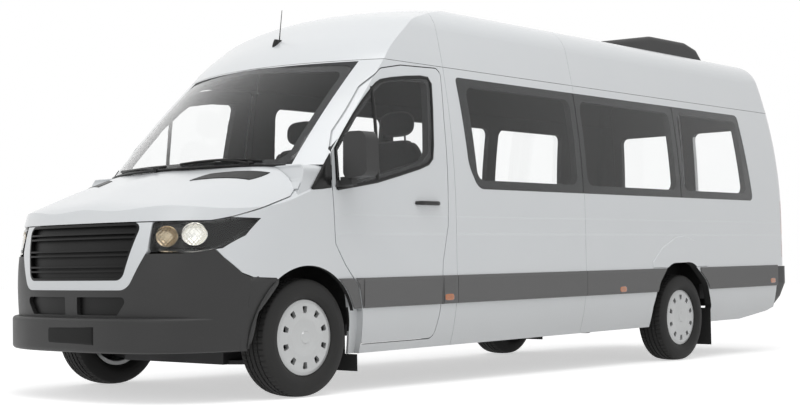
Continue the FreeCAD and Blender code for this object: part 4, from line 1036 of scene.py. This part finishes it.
def rear_y(z):
    """Rear face: flat below its waist, an arc above it."""
    above = np.clip(np.asarray(z, dtype=float) - REAR_WAIST, 0, None)
    return REAR_FACE - REAR_ARC + np.sqrt(REAR_ARC ** 2 - above ** 2)


for side, hand_name in SIDES:
    for level_name, z in (("low", 0.86), ("middle", 1.32), ("high", 2.05)):
        x = 0.803 if z < 1.5 else 0.770
        face_y = float(rear_y(z))
        barrel = bar([(x, face_y + 0.010, z - 0.055), (x, face_y + 0.010, z + 0.055)], 0.013, sides=16,
                     up=(0, 1.0, 0))
        flag = stack(oval(0.050, 0.036, 5.0), [(0.0, -0.002), (0.0, 0.006), (0.003, 0.009), (0.02, 0.009)],
                     (x - 0.045, face_y, z), u=(-1.0, 0, 0))
        piece("rear_hinge_%s_%s" % (level_name, hand_name), fitted(merged(barrel, flag), side),
              PAINT_NOSE, "rear_door_" + hand_name)
    reflector = stack(oval(0.055, 0.022, 4.0), [(0.0, 0.0), (0.0, 0.003), (0.003, 0.0042), (0.015, 0.0042)],
                      (0.640, 3.6825 - 0.060, 0.640), u=(-1.0, 0, 0))
    piece("rear_reflector_" + hand_name, fitted(reflector, side), TAIL)
pull = stack(oval(0.075, 0.028, 3.0), [(0.0, -0.001), (0.0, 0.012), (0.006, 0.022), (0.02, 0.024)],
             (-0.095, float(rear_y(1.12)), 1.120), u=(-1.0, 0, 0))
piece("rear_handle", fitted(pull), HANDLE_DARK, "rear_door_right")
stop_lamp = stack(oval(0.150, 0.018, 5.0, 56), [(0.0, -0.020), (0.0, 0.008), (0.004, 0.014), (0.012, 0.014)],
                  (0.0, float(rear_y(2.36)) - 0.006, 2.360), u=(-1.0, 0, 0))
piece("stop_lamp", fitted(stop_lamp), TAIL)

# %% [markdown]
# The sliding door runs on a rail behind it, a dark groove along the side at handle height.

# %% Sliding door rail
y, z = np.linspace(0.235, 1.56, 34), 1.135
rail_line = on_side(y, z + 0 * y, -0.001)
rail = bar(rail_line, 0.013, sides=10, up=(1.0, 0, 0), flat=0.45)
piece("door_rail", fitted(rail, -1), BLACK, "body")

# %% [markdown]
# On the roof stands a short whip aerial on a fin-shaped foot, and the mirror carries its
# glass on its rear face.

# %% Aerial and mirror
FOOT_STEPS = [(0.0, -0.05), (0.002, 0.0), (0.010, 0.020), (0.016, 0.034), (0.019, 0.040)]
WHIP = [(0, -1.915, 2.28), (0, -1.905, 2.36), (0, -1.885, 2.505)]
foot = stack(oval(0.052, 0.022, 2.2), FOOT_STEPS, (0.0, -1.925, 2.262), u=(0, 1.0, 0), v=(-1.0, 0, 0))
whip = bar(WHIP, [0.0045, 0.0030, 0.0022], up=(0, 1.0, 0))
piece("aerial", fitted(merged(foot, whip)), BLACK)

silvered = Finish("mirror_glass", Metallic=1.0)
MIRROR = silvered.done(silvered.blend(silvered.noise(6.0), grey(0.72), grey(0.66)),
                       0.02 + silvered.noise(10.0) * 0.02, silvered.noise(3.0), 0.02, 0.0005)
PANE_STEPS = [(0.0, -0.004), (0.0, 0.002), (0.004, 0.003), (0.02, 0.003)]
glass_plate = stack(oval(0.074, 0.112, 6.0, 60), PANE_STEPS, (1.154, -2.340, 1.470), u=(-1.0, 0, 0))
piece("mirror_pane", fitted(glass_plate), MIRROR, "door_left")

# %% [markdown]
# The cab seats are padded pieces with a fabric cover: crowned in the middle, pulled in at the
# corners, with a sewn channel down each side. They are superellipsoids whose radius dips at
# the seams, which for a firm van seat looks the same as inflated cloth and takes no time.

# %% Seats


def fabric(name):
    """Woven cover: two crossed sets of threads in the bump, and a mottled dark grey."""
    finish = Finish(name, Sheen_Weight=0.25, Specular_IOR_Level=0.25)
    x, y, z = finish.place()
    weave = finish.sum("SINE", x * 1900.0, 0) * finish.sum("SINE", (y + z) * 1900.0, 0)
    colour = finish.blend(finish.noise(40.0), grey(0.020), grey(0.045, (0.95, 0.98, 1.05)))
    return finish.done(colour, 0.82 + finish.noise(20.0) * 0.12, weave, 0.5, 0.0008)


def pad(centre, size, lean=0.0, seam=0.62, powers=(4.5, 3.2)):
    """Superellipsoid of half sizes a, b, c: a crowned rounded box, grooved where |x| / a = seam."""
    rows, columns = 40, 56
    lat = np.linspace(-math.pi / 2, math.pi / 2, rows)[:, None]
    lon = np.linspace(0, 2 * math.pi, columns, endpoint=False)[None, :]

    def power(value, exponent):
        return np.sign(value) * np.abs(value) ** (2 / exponent)

    level, plan = powers
    x = size[0] * power(np.cos(lat), level) * power(np.cos(lon), level)
    y = size[1] * power(np.cos(lat), level) * power(np.sin(lon), level)
    z = size[2] * power(np.sin(lat), plan) + 0 * lon
    groove = 1 - 0.07 * np.exp(-((np.abs(x / size[0]) - seam) / 0.035) ** 2)
    z = z * groove
    y = y * groove
    c, s = math.cos(lean), math.sin(lean)
    return np.stack([x + centre[0], y * c + z * s + centre[1], z * c - y * s + centre[2]], axis=-1), \
        grid_faces(rows, columns, ring=True)


FABRIC = fabric("seat_cloth")
SEATS = {"driver": 0.45, "passenger": -0.45}
for name, x in SEATS.items():
    cushion_form = pad((x, -1.525, 0.948), (0.250, 0.255, 0.066))
    back_form = pad((x, -1.262, 1.318), (0.240, 0.068, 0.312), -0.13)
    rest_form = pad((x, -1.248, 1.745), (0.138, 0.050, 0.086), 0.05, seam=2.0, powers=(3.0, 2.6))
    cushion = piece("seat_cushion_" + name, fitted(cushion_form), FABRIC, sharp=80.0)
    back = piece("seat_back_" + name, fitted(back_form), FABRIC, sharp=80.0)
    rest = piece("head_restraint_" + name, fitted(rest_form), FABRIC, sharp=80.0)
    posts = [bar([(x + d, -1.236, 1.56), (x + d, -1.240, 1.70)], 0.0065, up=(0, 1.0, 0))
             for d in (-0.06, 0.06)]
    base = stack(oval(0.205, 0.218, 8.0, 64), [(0.02, -0.19), (0.0, -0.17), (0.0, 0.18), (0.01, 0.20)],
                 (x, -1.530, 0.681), u=(1.0, 0, 0), v=(0, 1.0, 0))
    frame_piece = piece("seat_frame_" + name, fitted(merged(base, *posts)), INNER)
    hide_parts("cab_seats")

# %% [markdown]
# Last in the cab come a hood over the instruments and a screen in the middle of the dash,
# which show as dark shapes against the far windows.

# %% Dash top
hood = pad((0.430, -2.215, 1.345), (0.190, 0.075, 0.060), 0.25, seam=2.0)
screen_block = pad((-0.02, -2.190, 1.370), (0.120, 0.018, 0.065), 0.20, seam=2.0, powers=(6.0, 6.0))
piece("instrument_hood", fitted(merged(hood, screen_block)), INNER)
